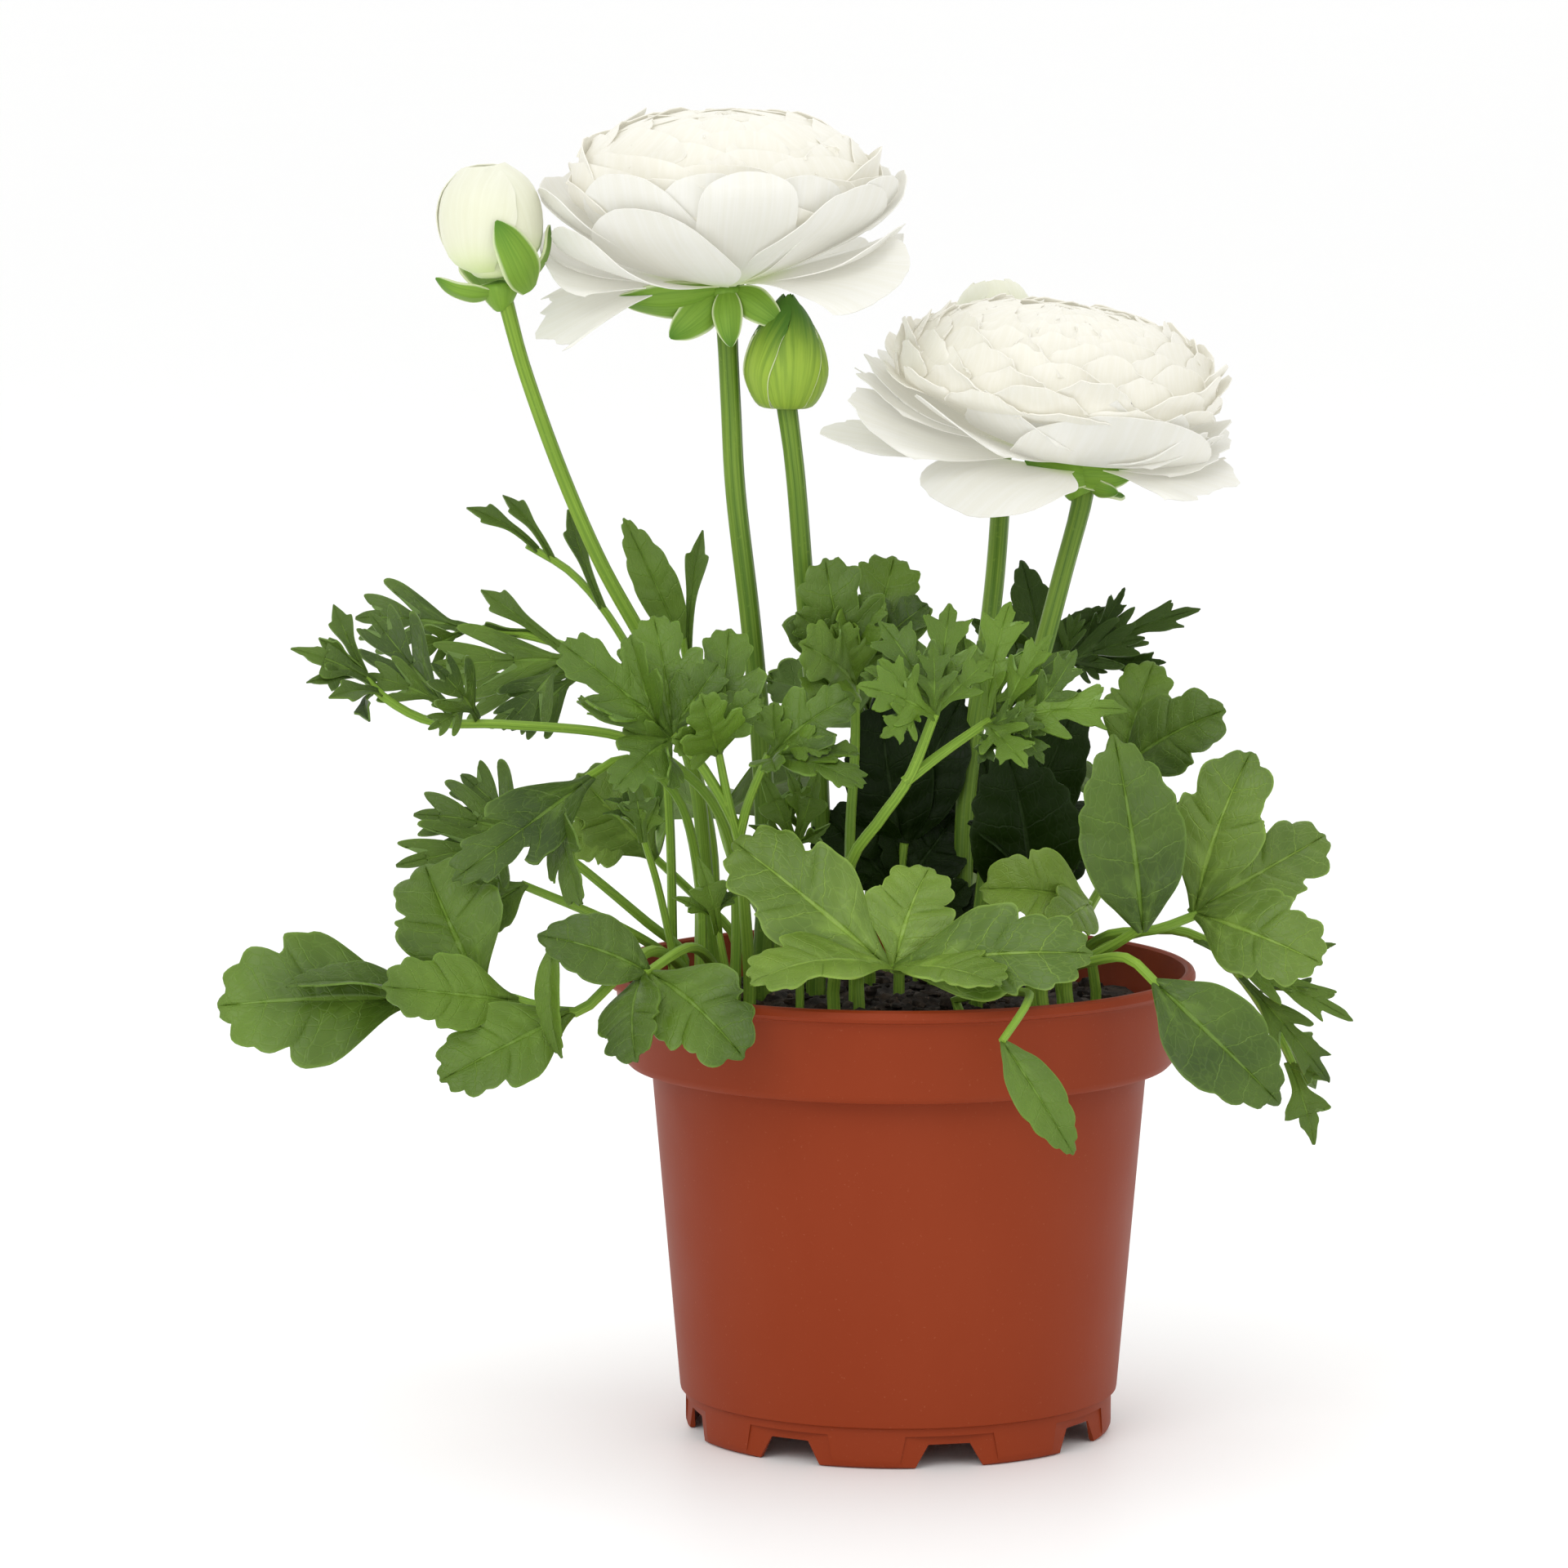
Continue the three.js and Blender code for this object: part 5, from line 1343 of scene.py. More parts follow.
RIGHT_OUTER = (
    Petal(189, ((8, 3), (30, 2.6), (54.6, 3.6)), 7, 0.1, 0.4, 0.02, 0, point=0.5, lift=-2.5, drop=0.26),
    Petal(196, ((8, 3.4), (30, 5), (51, 11)), 12, 0.15, 0.5, 0.02, 0, point=0.3, lift=-4.5, drop=0.3),
    Petal(184, ((8, 4), (30, 8), (47.6, 15.4)), 8, 0.2, 0.6, 0.02, 0, point=0.4, lift=-2, drop=0.3),
    Petal(176, ((8, 4), (30, 9), (46, 18)), 9, 0.25, 0.7, 0.02, 0, point=0.4, lift=-1.5, drop=0.3),
    Petal(212, ((4, 2.6), (18, 5), (30, 9), (40, 15)), 13, 0.4, 0.6, point=0.3, lift=-2),
    Petal(229, ((5, 1.4), (16, 1.6), (27, -0.2), (36.5, -6.0)), 17, 0.3, 0.5, 0.014, 0, drop=0.34),
    Petal(232, ((4, 2.6), (16, 6), (27, 11), (35, 19)), 13, 0.7, 0.5, point=0.5),
    Petal(254, ((4, 2.6), (15, 6), (24, 11), (33, 21)), 12, 0.8, 0.4, 0.008, point=0.8),
    Petal(286, ((4, 2.6), (14, 4.6), (23, 8.6), (30.6, 17.6)), 21, 0.65, 0.5, 0.008, 0, drop=0.34),
    Petal(278, ((4, 2.6), (14, 6), (23, 11), (29.6, 20.6)), 13, 0.75, 0.4, 0.01, point=0.6),
    Petal(306, ((4, 2.6), (14, 6), (22, 10), (29.6, 19)), 13, 0.7, 0.7, 0.03, point=0.5),
    Petal(322, ((4, 2.6), (14, 5), (22, 8), (30.4, 15)), 12, 0.65, 0.8, 0.04, point=0.3),
    Petal(338, ((4, 2.4), (13, 4.6), (21, 7.6), (30, 14)), 12, 0.6, 0.8, 0.04, point=0.3),
    Petal(332, ((4, 2.2), (16, 3.4), (25, 4.2), (33.4, 3.8)), 12, 0.4, 0.8, 0.07, 0, lift=3, drop=0.26),
    Petal(352, ((4, 2.2), (13, 4), (21, 6.4), (30, 10)), 12, 0.5, 0.9, 0.05, lift=1.5, drop=0.34),
    Petal(8, ((4, 2.4), (13, 5), (22, 9), (30, 15)), 13, 0.6, 0.9, 0.04, point=0.3),
    Petal(26, ((4, 2.4), (14, 4), (23, 7), (32, 11)), 14, 0.6, 0.8, 0.03, point=0.3),
    Petal(44, ((4, 2.6), (14, 5), (24, 9), (32, 16)), 14, 0.6, 0.8, 0.03, point=0.3),
    Petal(60, ((4, 2.6), (16, 4), (26, 7), (35, 11)), 15, 0.5, point=0.2),
    Petal(82, ((4, 3), (16, 5.4), (27, 9), (36.5, 16)), 15, 0.5, point=0.3),
    Petal(98, ((5, 3), (17, 4.4), (29, 8), (39, 12)), 15, 0.4, point=0.3),
    Petal(118, ((6, 3.4), (19, 6), (32, 10), (43, 16)), 15, 0.35, point=0.4),
    Petal(136, ((8, 4), (22, 5.4), (35, 9), (48, 13)), 14, 0.3, point=0.4),
    Petal(152, ((8, 4), (22, 6.4), (35, 11), (48, 17)), 13, 0.3, point=0.4),
    Petal(167, ((8, 4), (30, 7), (50, 14)), 11, 0.25, curl=0, point=0.4),
)
HEADS = (
    Head("bloom_left_petals", "left_bloom_petals", Seat.LEFT_BLOOM, 11, LEFT_OUTER,
         Dome(radius=32, foot=18, rise=16.4, squareness=0.7, count=54, first=8, width=17.5, point=0.05,
              wave=1.1, ragged=0.012, curl=0.2, flare=3, flared=0.5, length=36, under=16.8, drop=0.45)),
    Head("bloom_right_petals", "right_bloom_petals", Seat.RIGHT_BLOOM, 23, RIGHT_OUTER,
         Dome(radius=33.4, foot=16, rise=16.6, squareness=0.72, count=118, first=2, width=10.5, point=0.35,
              wave=0.9, ragged=0.05, curl=0.4, flare=4.6, flared=0.75, length=32, under=13.8, drop=0.4),
         shift=(-7, 2, 0)),
    Head("white_bud_petals", "white_bud_head", Seat.WHITE_BUD, 3,
         ring(3, 228, ((3, 1.8), (8.8, 6), (10.3, 13.5), (8.6, 19.6), (4.2, 24.0)), 14, 0.15, 0.004, tilt=0.5)
         + ring(3, 168, ((3, 2.4), (8.4, 7), (9.6, 14), (7.6, 20), (2.8, 23.6)), 13, 0.15, 0.004, tilt=0.4),
         core=((0, 1.2), (4.6, 2.4), (7.4, 8), (7.8, 14), (5.2, 19.8), (0, 21.8))),
    Head("back_bud_petals", "back_bud_head", Seat.BACK_BUD, 4,
         ring(4, 10, ((4, 1.6), (8.6, 5.4), (7.2, 10.5), (3.6, 14.4)), 9, 0.5, 0.05, drop=0.34)
         + ring(4, 55, ((3, 2), (7.4, 6), (6, 10.5), (2.4, 13.8)), 8, 0.5, 0.05, drop=0.34),
         core=((0, 1.2), (5, 2), (6.8, 6), (4.4, 11), (0, 12.6))),
)


@dataclass
class Blossom:
    """The petals of the two blooms and the two white buds."""

    grids: Grids
    thickness: float = 0.22
    close_cells: int = 14
    outer_cells: int = 18
    eye_cells: int = 10
    core_cells: tuple[int, int] = (48, 36)

    def build(self) -> None:
        """Builds every head and reports it."""
        cream = PetalFinish("petal_cream", (0.590, 0.575, 0.505), (0.612, 0.600, 0.545),
                            (0.56, 0.55, 0.42), 0.3, 0.32).make()
        # The outer petals' finish is greyer and cooler than the cream: partly their own tone, partly painted
        # shade for petals that hang and face down.
        cool_and_shaded = PetalFinish("petal_outer_white", (0.565, 0.560, 0.515), (0.580, 0.576, 0.540),
                           (0.47, 0.52, 0.30), 0.34, 0.34).make()
        greenish = PetalFinish("petal_bud_white", (0.600, 0.610, 0.470), (0.622, 0.625, 0.525),
                               (0.55, 0.66, 0.27), 0.45).make()
        for head in HEADS:
            if head.dome:
                self.open_out(head, (cream, cool_and_shaded))
            else:
                self.close_up(head, (greenish,))

    def lay(self, petals: Sequence[Petal], cells: int, draw: random.Random, materials: tuple[Material, ...],
            slot: int = 0) -> list[Piece]:
        """Lays petals out with so many cells a side, all on one of the materials."""
        return [dress(self.grids.lay(cells, cells, petal.surface(draw)), materials, slot) for petal in petals]

    def open_out(self, head: Head, materials: tuple[Material, ...]) -> None:
        """Builds an open bloom, its outer petals on the second of its materials."""
        draw = random.Random(head.seed)
        core = dress(self.grids.turned(head.dome.core(), *self.core_cells), materials)
        close = self.lay(head.dome.petals(draw), self.close_cells, draw, materials)
        outer = self.lay(head.outer, self.outer_cells, draw, materials, 1)
        eye = self.lay(head.dome.eye(), self.eye_cells, draw, materials)
        for part in (core, *close, *eye):
            write_points(part.data, read_points(part.data) + np.array(head.shift, float) * MM)
        self.seat(head, core, [*close, *outer, *eye], "petal")

    def close_up(self, head: Head, materials: tuple[Material, ...]) -> None:
        """Builds a closed bud."""
        core = dress(self.grids.turned(head.core, *self.core_cells), materials)
        petals = self.lay(head.outer, self.close_cells, random.Random(head.seed), materials)
        self.seat(head, core, petals, "petal_greenish")

    def seat(self, head: Head, core: Piece, petals: list[Piece], slot: str) -> None:
        """Makes a head's petals solid, joins them to its core and sets it on its stem."""
        shell = joined("petals", petals)
        modify(shell, "SOLIDIFY", thickness=self.thickness * MM, offset=0)
        whole = smoothed(carry(joined(head.name, [shell, core]), *head.seat.value))
        declare(whole, slot, head.node)


@dataclass(frozen=True)
class Stem:
    """A flower stem from the soil's top on, with its receptacle and sepals."""

    node: str
    name: str
    slot: str
    radius: float
    seat: Seat
    rise: float
    points: tuple[Point, ...]
    sepals: tuple[Blade, ...]


def sepal(base: Point, tip: Point, half_width: float, facing: Point, arch: float, fold: float = -1) -> Blade:
    """A sepal in its head's own frame."""
    return Blade(SEPAL, base, tip, half_width, arch, fold, facing)


STEMS = (
    Stem("white_bud_stem", "white_bud_stem_green", "stem_bright", 1.5, Seat.WHITE_BUD, 0.9,
         ((-37, 2, 93), (-39, 2, 111), (-41, 2, 131), (-46, 0, 148), (-51, -3, 160), (-60, -6, 177),
          (-68, -8, 196), (-75, -9, 216), (-79, -10, 231)),
         (sepal((6.4, -3.6, -1.6), (1.8, -11.6, 13.2), 4.4, (0.5, -1, 0.05), 3.0, -1.4),
          sepal((4.2, 0, -1), (11.6, 1, 10.6), 4.2, (1, 0, -0.2), 2.4, -1.4),
          sepal((-1, -2, -1.6), (-12, -4, 3.0), 2.3, (-0.3, -0.8, -0.5), 2.6),
          sepal((-2, 4, -1), (-4, 13.4, 10), 5, (-0.3, 1, -0.2), 2.6, -1.4))),
    Stem("bloom_left_stem", "left_bloom_stem", "stem", 2.1, Seat.LEFT_BLOOM, 1.3,
         ((-28, 8, 92), (-27, 8, 111), (-28, 6, 138), (-30, 3, 163), (-33, 0, 190), (-34, 0, 208),
          (-35, 0, 229)),
         (sepal((-1.4, -2.4, -0.8), (-21.6, -6, -1.6), 4.6, (0, -0.85, -0.5), 3.2, -1.4),
          sepal((-1.4, -2.6, -1.5), (-11, -6, -9.4), 4, (-0.4, -0.8, -0.4), 1.8),
          sepal((0.4, -3.2, 0), (1.2, -7, -11), 3.0, (0, -1, 0.3), 1.8, -1.2),
          sepal((2, -2.4, -0.6), (11.4, -6, -6.6), 3.4, (0.4, -0.9, -0.2), 1.8, -1.2),
          sepal((1, 3, -1), (5, 12, -5), 4, (0, 0.5, -0.8), 1.5))),
    Stem("back_bud_stem", "back_bud_stem_green", "stem", 2.0, Seat.BACK_BUD, 0.9,
         ((13, 12, 95), (13, 12, 115), (14, 14, 132), (18, 18, 160), (20, 26, 178), (21, 40, 196),
          (20, 49, 214)),
         tuple(sepal((4 * x, 4 * y, -0.8), (12.4 * x, 12.4 * y, 8), 4.6, (x, y, 0), 1.6)
               for x, y in ((0, -1), (1, 0), (-1, 0), (0, 1)))),
    Stem("bloom_right_stem", "right_bloom_stem", "stem", 2.0, Seat.RIGHT_BLOOM, 2.8,
         ((16, -4, 94), (18, -4, 116), (23, -2, 139), (29, 0, 160), (33, 2, 175), (36, 3, 186), (37, 4, 191)),
         (sepal((3, -3, 0.4), (-11.5, -8, 2.8), 3.4, (-0.1, -1, 0.2), 1.2),
          sepal((-2, -3, 0.6), (10.8, -6, 2.4), 3.2, (0.2, -1, 0), 1.2),
          sepal((1, -2, -1.0), (8.0, -6, -1.6), 2.4, (0.2, -0.8, -0.4), 1.0),
          sepal((2, 1, -1), (10, 4, -4), 4, (0.4, 0.3, -0.9), 1.5),
          sepal((-1, 2, -1), (-6, 11, -2), 4, (0, 0.5, -0.9), 1.5))),
)


@dataclass
class Stems:
    """The flower stems with their receptacles and sepals, and the closed green bud."""

    grids: Grids
    knob: float = 4.0
    sepal_thickness: float = 0.5
    knob_cells: tuple[int, int] = (20, 14)
    bud_core_cells: tuple[int, int] = (28, 18)
    bud_sepal_cells: tuple[int, int] = (14, 22)
    bud_sepals: int = 5
    bud_radius: float = 2.0
    bud_points: tuple[Point, ...] = ((-17, 14, 90), (-16, 14, 115), (-17, 10, 144), (-19, 4, 168),
                                     (-21, -1, 194), (-23, -2, 210))
    bud_core: Profile = ((0, 0.4), (4.0, 1.2), (5.8, 6), (5.0, 12), (2.8, 16.4), (0, 20))
    bud_outer: Profile = ((1.8, 0.2), (5.6, 0.7), (8.2, 6.4), (7.2, 12.4), (4.3, 17.8), (0.9, 22.6))
    bud_inner: Profile = ((1.8, 0.6), (5.2, 1.2), (7.6, 6.6), (6.7, 12.4), (3.9, 17.4), (0.8, 21.8))

    def build(self) -> None:
        """Builds every stem and reports it."""
        plain = StalkFinish("flower_stem_green", (0.182, 0.292, 0.036), (0.070, 0.146, 0.013), 20).make()
        bright = StalkFinish("young_stem_green", (0.235, 0.372, 0.042), (0.120, 0.225, 0.020), 20).make()
        upper = SepalFinish("sepal_green", (0.190, 0.335, 0.038), (0.085, 0.205, 0.018)).make()
        under = SepalFinish("sepal_under_green", (0.250, 0.405, 0.075), (0.110, 0.260, 0.034)).make()
        skin = SepalFinish("green_bud_sepal", (0.275, 0.405, 0.045), (0.058, 0.150, 0.015), 0.86).make()
        for stem in STEMS:
            self.raise_up(stem, (bright if stem.slot == "stem_bright" else plain, upper, under))
        self.close_bud((plain, skin))

    def tapered(self, points: Sequence[Point], thick: float) -> Piece:
        """A stem that widens a little under its head."""
        def radius(share: Array) -> Array:
            """The radius at a share of the length."""
            return thick * (1.0 + 0.1 * np.clip((share - 0.93) / 0.07, 0, 1) - 0.05 * share)

        return self.grids.tube(rooted(points), radius, sides=16, step=3.5, ridges=7, groove=0.05)

    def raise_up(self, stem: Stem, materials: tuple[Material, ...]) -> None:
        """Builds one flower stem.

        Args:
            stem: The stem's points, head and sepals.
            materials: Its stem, sepal and sepal underside finishes.
        """
        draw = random.Random(stem.node)
        top = stem.rise
        profile = ((0, -5.4), (stem.radius, -5), (self.knob * 0.95, -1.6), (self.knob, 0.1),
                   (self.knob * 0.6, top - 0.4), (0, top))
        knob = dress(self.grids.turned(profile, *self.knob_cells), materials, 1)
        laid = [dress(self.grids.lay(*blade.outline.value.cells, blade.surface(draw)), materials, 1)
                for blade in stem.sepals]
        sepals = joined("sepals", laid)
        modify(sepals, "SOLIDIFY", thickness=self.sepal_thickness * MM, offset=0, material_offset=1)
        collar = carry(joined("collar", [knob, sepals]), *stem.seat.value)
        line = dress(self.tapered(stem.points, stem.radius), materials)
        declare(smoothed(joined(stem.name, [line, collar])), stem.slot, stem.node)

    def close_bud(self, materials: tuple[Material, ...]) -> None:
        """Builds the green bud, still shut in its sepals, on its stem, from its stem and sepal finishes."""
        draw = random.Random("green bud")
        body = dress(self.grids.turned(self.bud_core, *self.bud_core_cells), materials, 1)
        petals = (ring(self.bud_sepals, 62, self.bud_outer, 7.2, 0.1, 0, point=0.3, tilt=0.35, drop=0.3)
                  + ring(self.bud_sepals, 98, self.bud_inner, 6.8, 0.1, 0, point=0.3, tilt=0.3, drop=0.3))
        laid = [dress(self.grids.lay(*self.bud_sepal_cells, petal.surface(draw)), materials, 1)
                for petal in petals]
        sepals = joined("sepals", laid)
        modify(sepals, "SOLIDIFY", thickness=self.sepal_thickness * MM, offset=0)
        head = carry(joined("bud", [sepals, body]), *Seat.GREEN_BUD.value)
        line = dress(self.tapered(self.bud_points, self.bud_radius), materials)
        declare(smoothed(joined("closed_green_bud", [line, head])), "stem", "green_bud")


# Pot and soil


@dataclass
class Pot:
    """The 12 cm nursery pot: a spun shell with a rounded lip, notches round its foot and drain holes."""

    sides: int = 128
    notches: int = 8
    notch_turn: float = 14
    notch_foot: float = 14
    notch_top: float = 8.5
    notch_height: float = 4.7
    bay_width: float = 21
    bay_height: float = 6.6
    bay_narrowing: float = 0.86
    foot_radius: float = 43.3
    drain_radius: float = 3
    drain_at: float = 35
    drain_middle: float = 5.4
    drain_depth: float = 8
    drain_sides: int = 24
    drain_edge: float = 0.2
    cut_in: float = 4
    cut_out: float = 3
    cut_under: float = 1
    crease: float = 32
    profile: Profile = (
        (20, 0), (20.4, 0.1), (21, 4.7), (41.8, 4.7), (41.4, 0.3), (41.7, 0), (42.3, 0), (42.9, 0.4),
        (43.25, 1.2), (43.3, 2.0), (43.3, 8.0), (43.6, 8.3), (44.35, 8.5), (44.45, 9.0), (50.2, 75.1),
        (50.6, 75.4), (54.0, 75.2), (54.9, 75.4), (55.5, 76.0), (55.8, 77.0), (57.3, 90.8), (57.7, 91.6),
        (58.6, 91.9), (59.5, 92.1), (60, 92.8), (60, 93.4), (59.7, 94.1), (59.1, 94.5), (58.4, 94.5),
        (57.9, 94.1), (57.7, 93.2), (54.6, 77.2), (54.1, 76.5), (49.2, 76.5), (48.8, 76.1), (43.1, 8.7),
        (42.9, 8.3), (41.2, 6.4), (40.6, 6.0), (0.4, 6.0),
    )

    def build(self) -> None:
        """Spins the shell, cuts its notches and holes and reports it."""
        shell = self.spin()
        for cutters in (self.drains, self.bays, self.openings):
            cutter = cutters()
            modify(shell, "BOOLEAN", object=cutter, operation="DIFFERENCE", solver="EXACT")
            bpy.data.objects.remove(cutter)
        smoothed(shell, self.crease)
        dress(shell, (PotFinish().make(),))
        declare(shell, "terracotta_plastic", "pot")

    def spin(self) -> Piece:
        """Extrudes the profile point by point and spins it round the axis.

        Returns:
            The closed shell.
        """
        deselect()
        start = self.profile[0]
        bpy.ops.mesh.primitive_plane_add(size=1 * MM, location=(start[0] * MM, 0, start[1] * MM))
        shell = bpy.context.view_layer.objects.active
        shell.name = shell.data.name = "pot_shell"
        bpy.ops.object.transform_apply(location=True)
        edit(shell)
        bpy.ops.mesh.select_mode(type="VERT")
        bpy.ops.mesh.merge(type="CENTER")
        for (radius, height), (wider, higher) in zip(self.profile, self.profile[1:]):
            step = ((wider - radius) * MM, 0, (higher - height) * MM)
            bpy.ops.mesh.extrude_region_move(TRANSFORM_OT_translate={"value": step})
        bpy.ops.mesh.select_all(action="SELECT")
        bpy.ops.mesh.spin(steps=self.sides, angle=math.tau, center=(0, 0, 0), axis=(0, 0, 1))
        bpy.ops.mesh.select_all(action="SELECT")
        bpy.ops.mesh.remove_doubles(threshold=WELD / 2)
        bpy.ops.mesh.select_all(action="DESELECT")
        bpy.ops.mesh.select_non_manifold()
        bpy.ops.mesh.fill_holes(sides=0)
        bpy.ops.mesh.select_all(action="SELECT")
        bpy.ops.mesh.normals_make_consistent(inside=False)
        bpy.ops.object.mode_set(mode="OBJECT")
        return shell

    def round_foot(self, first: Piece, count: int, name: str) -> Piece:
        """Copies a cutter round the pot's axis.

        Args:
            first: The cutter, on the +X side.
            count: How many there are round the pot.
            name: The joined cutters' name.

        Returns:
            The joined cutters.
        """
        bpy.ops.object.transform_apply(location=True, rotation=True, scale=True)
        points = read_points(first.data)
        made = []
        for i in range(count):
            angle = math.radians(self.notch_turn - 90 + i * 360 / count)
            across, along = math.cos(angle), math.sin(angle)
            turn = np.array([[across, -along, 0], [along, across, 0], [0, 0, 1]])
            mesh = first.data.copy()
            write_points(mesh, points @ turn.T)
            made.append(stand(name, mesh))
        bpy.data.objects.remove(first)
        return joined(name, made)

    def block(self, low: Point, high: Point, narrow: float) -> Piece:
        """A block whose top face is narrower than its foot across Y.

        Args:
            low: Its lowest corner.
            high: Its highest corner.
            narrow: The top's width as a share of the foot's.

        Returns:
            The block.
        """
        deselect()
        centre = [(a + b) / 2 * MM for a, b in zip(low, high)]
        scale = [(b - a) * MM for a, b in zip(low, high)]
        bpy.ops.mesh.primitive_cube_add(size=1, location=centre, scale=scale)
        block = bpy.context.view_layer.objects.active
        bpy.ops.object.transform_apply(location=True, rotation=True, scale=True)
        bpy.ops.object.mode_set(mode="EDIT")
        bpy.ops.mesh.select_mode(type="FACE")
        bpy.ops.mesh.select_all(action="DESELECT")
        bpy.ops.object.mode_set(mode="OBJECT")
        for face in block.data.polygons:
            face.select = face.normal.z > 0.9
        bpy.ops.object.mode_set(mode="EDIT")
        bpy.ops.transform.resize(value=(1, narrow, 1))
        bpy.ops.object.mode_set(mode="OBJECT")
        return block

    def openings(self) -> Piece:
        """The cutters of the notches in the foot ring."""
        slope = (self.notch_foot - self.notch_top) / self.notch_height / 2
        foot = self.notch_foot / 2 + slope
        low = (self.foot_radius - self.cut_in, -foot, -self.cut_under)
        high = (self.foot_radius + self.cut_out, foot, self.notch_height)
        first = self.block(low, high, self.notch_top / 2 / foot)
        return self.round_foot(first, self.notches, "notches")

    def bays(self) -> Piece:
        """The cutters of the shallow bays round the notches."""
        half = self.bay_width / 2
        inside = math.sqrt(self.foot_radius**2 - half**2) - 0.05
        high = (self.foot_radius + self.cut_out, half, self.bay_height)
        first = self.block((inside, -half, -self.cut_under), high, self.bay_narrowing)
        return self.round_foot(first, self.notches, "bays")

    def drains(self) -> Piece:
        """The cutters of the drain holes."""
        deselect()
        size = {"radius": self.drain_radius * MM, "depth": self.drain_depth * MM}
        place = (self.drain_at * MM, 0, self.drain_middle * MM)
        bpy.ops.mesh.primitive_cylinder_add(vertices=self.drain_sides, **size, location=place)
        first = bpy.context.view_layer.objects.active
        modify(first, "BEVEL", width=self.drain_edge * MM, segments=2, limit_method="ANGLE")
        return self.round_foot(first, self.notches // 2, "drains")


@dataclass
class Soil:
    """The root ball of dark peat, lumpy on top, with loose crumbs on it."""

    grids: Grids
    top: float = 85.5
    mound: float = 2.2
    lump: float = 0.8
    crumbs: int = 520
    rim: float = 54.0
    seed: int = 19
    rows: int = 74
    wall_rows: int = 26
    sides: int = 120
    crease: float = 40
    wall: Profile = ((0, 6.5), (39.5, 6.5), (41.2, 9.2), (48.1, 78.0), (53.9, 78.2), (54.9, 84.6))

    def height(self, x: Array, y: Array) -> Array:
        """The height of the soil's surface, with its mound and lumps."""
        mound = self.mound * np.exp(-((x**2 + y**2) / 900))
        wave = np.sin(0.31 * x + 0.7) * np.cos(0.27 * y) + 0.6 * np.sin(0.57 * y + 0.23 * x)
        fine = 0.45 * np.sin(1.3 * x + 2) * np.sin(1.1 * y + 1)
        fine = fine + 0.3 * np.sin(2.9 * x + 0.5 * y) * np.cos(2.3 * y - 0.7 * x)
        return self.top + mound + self.lump * wave * 0.8 + fine

    def build(self) -> None:
        """Builds the soil and its crumbs and reports it."""
        materials = (SoilFinish("damp_peat", (0.010, 0.0065, 0.0045), (0.045, 0.026, 0.015)).make(),
                     SoilFinish("dry_peat_crumbs", (0.018, 0.011, 0.007), (0.075, 0.046, 0.027)).make())
        body = dress(self.ball(), materials)
        crumbs = [dress(crumb, materials, 0 if i % 3 else 1) for i, crumb in enumerate(self.scatter())]
        whole = smoothed(joined("potting_soil_bed", [body, *crumbs]), self.crease)
        declare(whole, "potting_soil", "soil")

    def ball(self) -> Piece:
        """The soil as one closed body inside the pot.

        Returns:
            The body.
        """
        def surface(u: Array, v: Array) -> Array:
            """Up the wall of the pot, then over the top towards the middle."""
            row = np.rint(v * self.rows).astype(int)
            share = np.clip(row / self.wall_rows, 0, 1) * (len(self.wall) - 1)
            side = np.stack([np.interp(share, range(len(self.wall)), way) for way in zip(*self.wall)], axis=1)
            inwards = np.clip((row - self.wall_rows) / (self.rows - self.wall_rows), 0, 1)
            radius = np.where(row > self.wall_rows, self.wall[-1][0] * (1 - inwards), side[:, 0])
            angle = round_angle(u)
            x, y = radius * np.cos(angle), radius * np.sin(angle)
            return np.stack([x, y, np.where(row > self.wall_rows, self.height(x, y), side[:, 1])], axis=1)

        return self.grids.rolled(self.sides, self.rows, surface)

    def scatter(self) -> list[Piece]:
        """Loose crumbs of peat, one modelled and the rest copied, each with its own mesh.

        Returns:
            The crumbs.
        """
        draw = random.Random(self.seed)
        deselect()
        bpy.ops.mesh.primitive_uv_sphere_add(segments=6, ring_count=4, radius=1 * MM, calc_uvs=True)
        first = bpy.context.view_layer.objects.active
        ball = read_points(first.data)
        made = []
        for _ in range(self.crumbs):
            radius = self.rim * math.sqrt(draw.random())
            angle = draw.uniform(0, math.tau)
            size = 0.55 + 1.5 * draw.random() ** 3
            noise = np.array([draw.uniform(0.72, 1.2) for _ in range(len(ball))])[:, None]
            squash = np.array([draw.uniform(0.7, 1.5), draw.uniform(0.7, 1.5), draw.uniform(0.5, 0.9)])
            reach = min(radius, self.rim - 2 * size)
            x, y = reach * math.cos(angle), reach * math.sin(angle)
            place = np.array([x, y, self.height(x, y) + 0.25 * size]) * MM
            mesh = first.data.copy()
            write_points(mesh, ball * noise * squash * size + place)
            made.append(stand("crumb", mesh))
        bpy.data.objects.remove(first)
        return made


# Studio


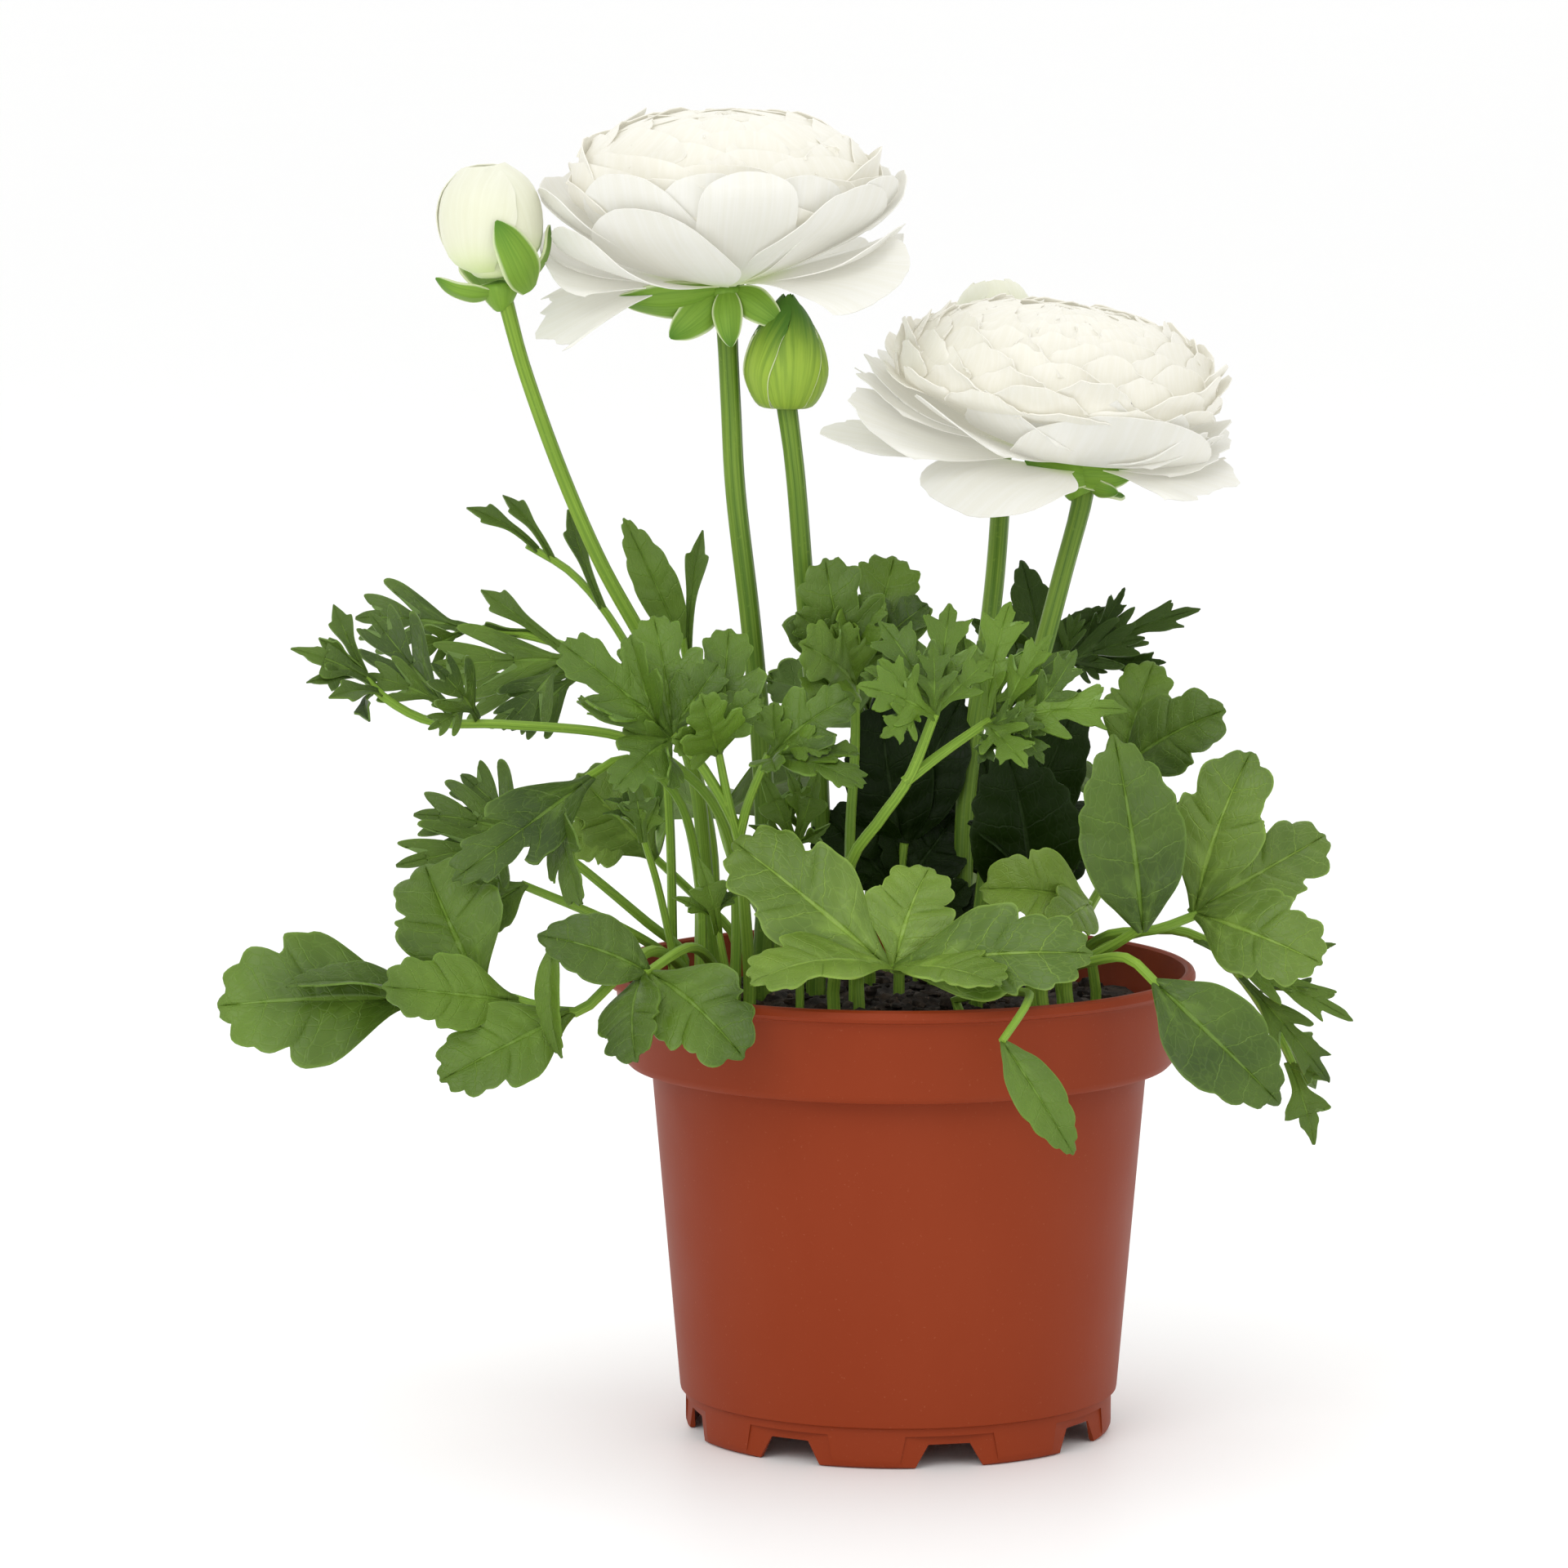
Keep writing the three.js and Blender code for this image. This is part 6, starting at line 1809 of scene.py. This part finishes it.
@dataclass
class Studio:
    """The pale table, the soft lights and the camera at the photograph's angle."""

    floor: float = 90.0
    lens: float = 180
    camera_at: Point = (0, -1570, 330)
    tilt: float = 82.8
    turn: float = 0.85
    sky_light: float = 1.03
    look_at: Point = (0, 0, 0.14)
    lights: tuple[tuple[str, Point, float, float], ...] = (
        ("key_light", (-0.65, -1.35, 1.15), 0.9, 7.6), ("fill_light", (1.1, -1.05, 0.75), 0.9, 1.4),
        ("low_light", (-0.15, -1.3, 0.1), 0.6, 2.2), ("top_light", (0.15, 0.75, 1.5), 1.2, 3),
    )

    def build(self) -> None:
        """Lays the table, sets the lights and the camera."""
        deselect()
        bpy.ops.mesh.primitive_plane_add(size=self.floor, location=(0, 0, -0.1 * MM))
        table = bpy.context.view_layer.objects.active
        table.name = "table_top"
        dress(table, (FloorFinish().make(),))
        for name, place, size, watts in self.lights:
            self.light(name, place, size, watts)
        self.sky()
        self.camera()
        scene = bpy.context.scene
        scene.view_settings.view_transform = "Standard"
        scene.view_settings.look = "None"

    def light(self, name: str, place: Point, size: float, watts: float) -> None:
        """Hangs a soft square light that looks at the plant.

        Args:
            name: The light's name.
            place: Where it hangs, in metres.
            size: The length of its side, in metres.
            watts: Its power.
        """
        lamp = bpy.data.lights.new(name, "AREA")
        lamp.shape, lamp.size, lamp.energy = "SQUARE", size, watts
        body = stand(name, lamp)
        body.location = place
        body.rotation_euler = (Vector(self.look_at) - Vector(place)).to_track_quat("-Z", "Y").to_euler()

    def sky(self) -> None:
        """A plain white surrounding that lights everything softly."""
        world = bpy.data.worlds.new("white_tent")
        world.use_nodes = True
        backdrop = world.node_tree.nodes["Background"]
        backdrop.inputs[0].default_value = (1, 1, 1, 1)
        backdrop.inputs[1].default_value = self.sky_light
        bpy.context.scene.world = world

    def camera(self) -> None:
        """The camera at the photograph's viewing angle."""
        data = bpy.data.cameras.new("photo_camera")
        data.lens, data.sensor_width = self.lens, 36
        data.clip_start, data.clip_end = 0.01, 100
        body = stand("photo_camera", data)
        body.location = Vector(self.camera_at) * MM
        body.rotation_euler = (math.radians(self.tilt), 0, math.radians(self.turn))
        bpy.context.scene.camera = body


def main() -> None:
    """Builds the plant piece by piece."""
    logging.basicConfig(level=logging.INFO, format="%(message)s")
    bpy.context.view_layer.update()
    grids = Grids()
    for part in (Studio(), Pot(), Soil(grids), Stems(grids), Foliage(grids), Blossom(grids)):
        part.build()


if __name__ == "__main__":
    main()
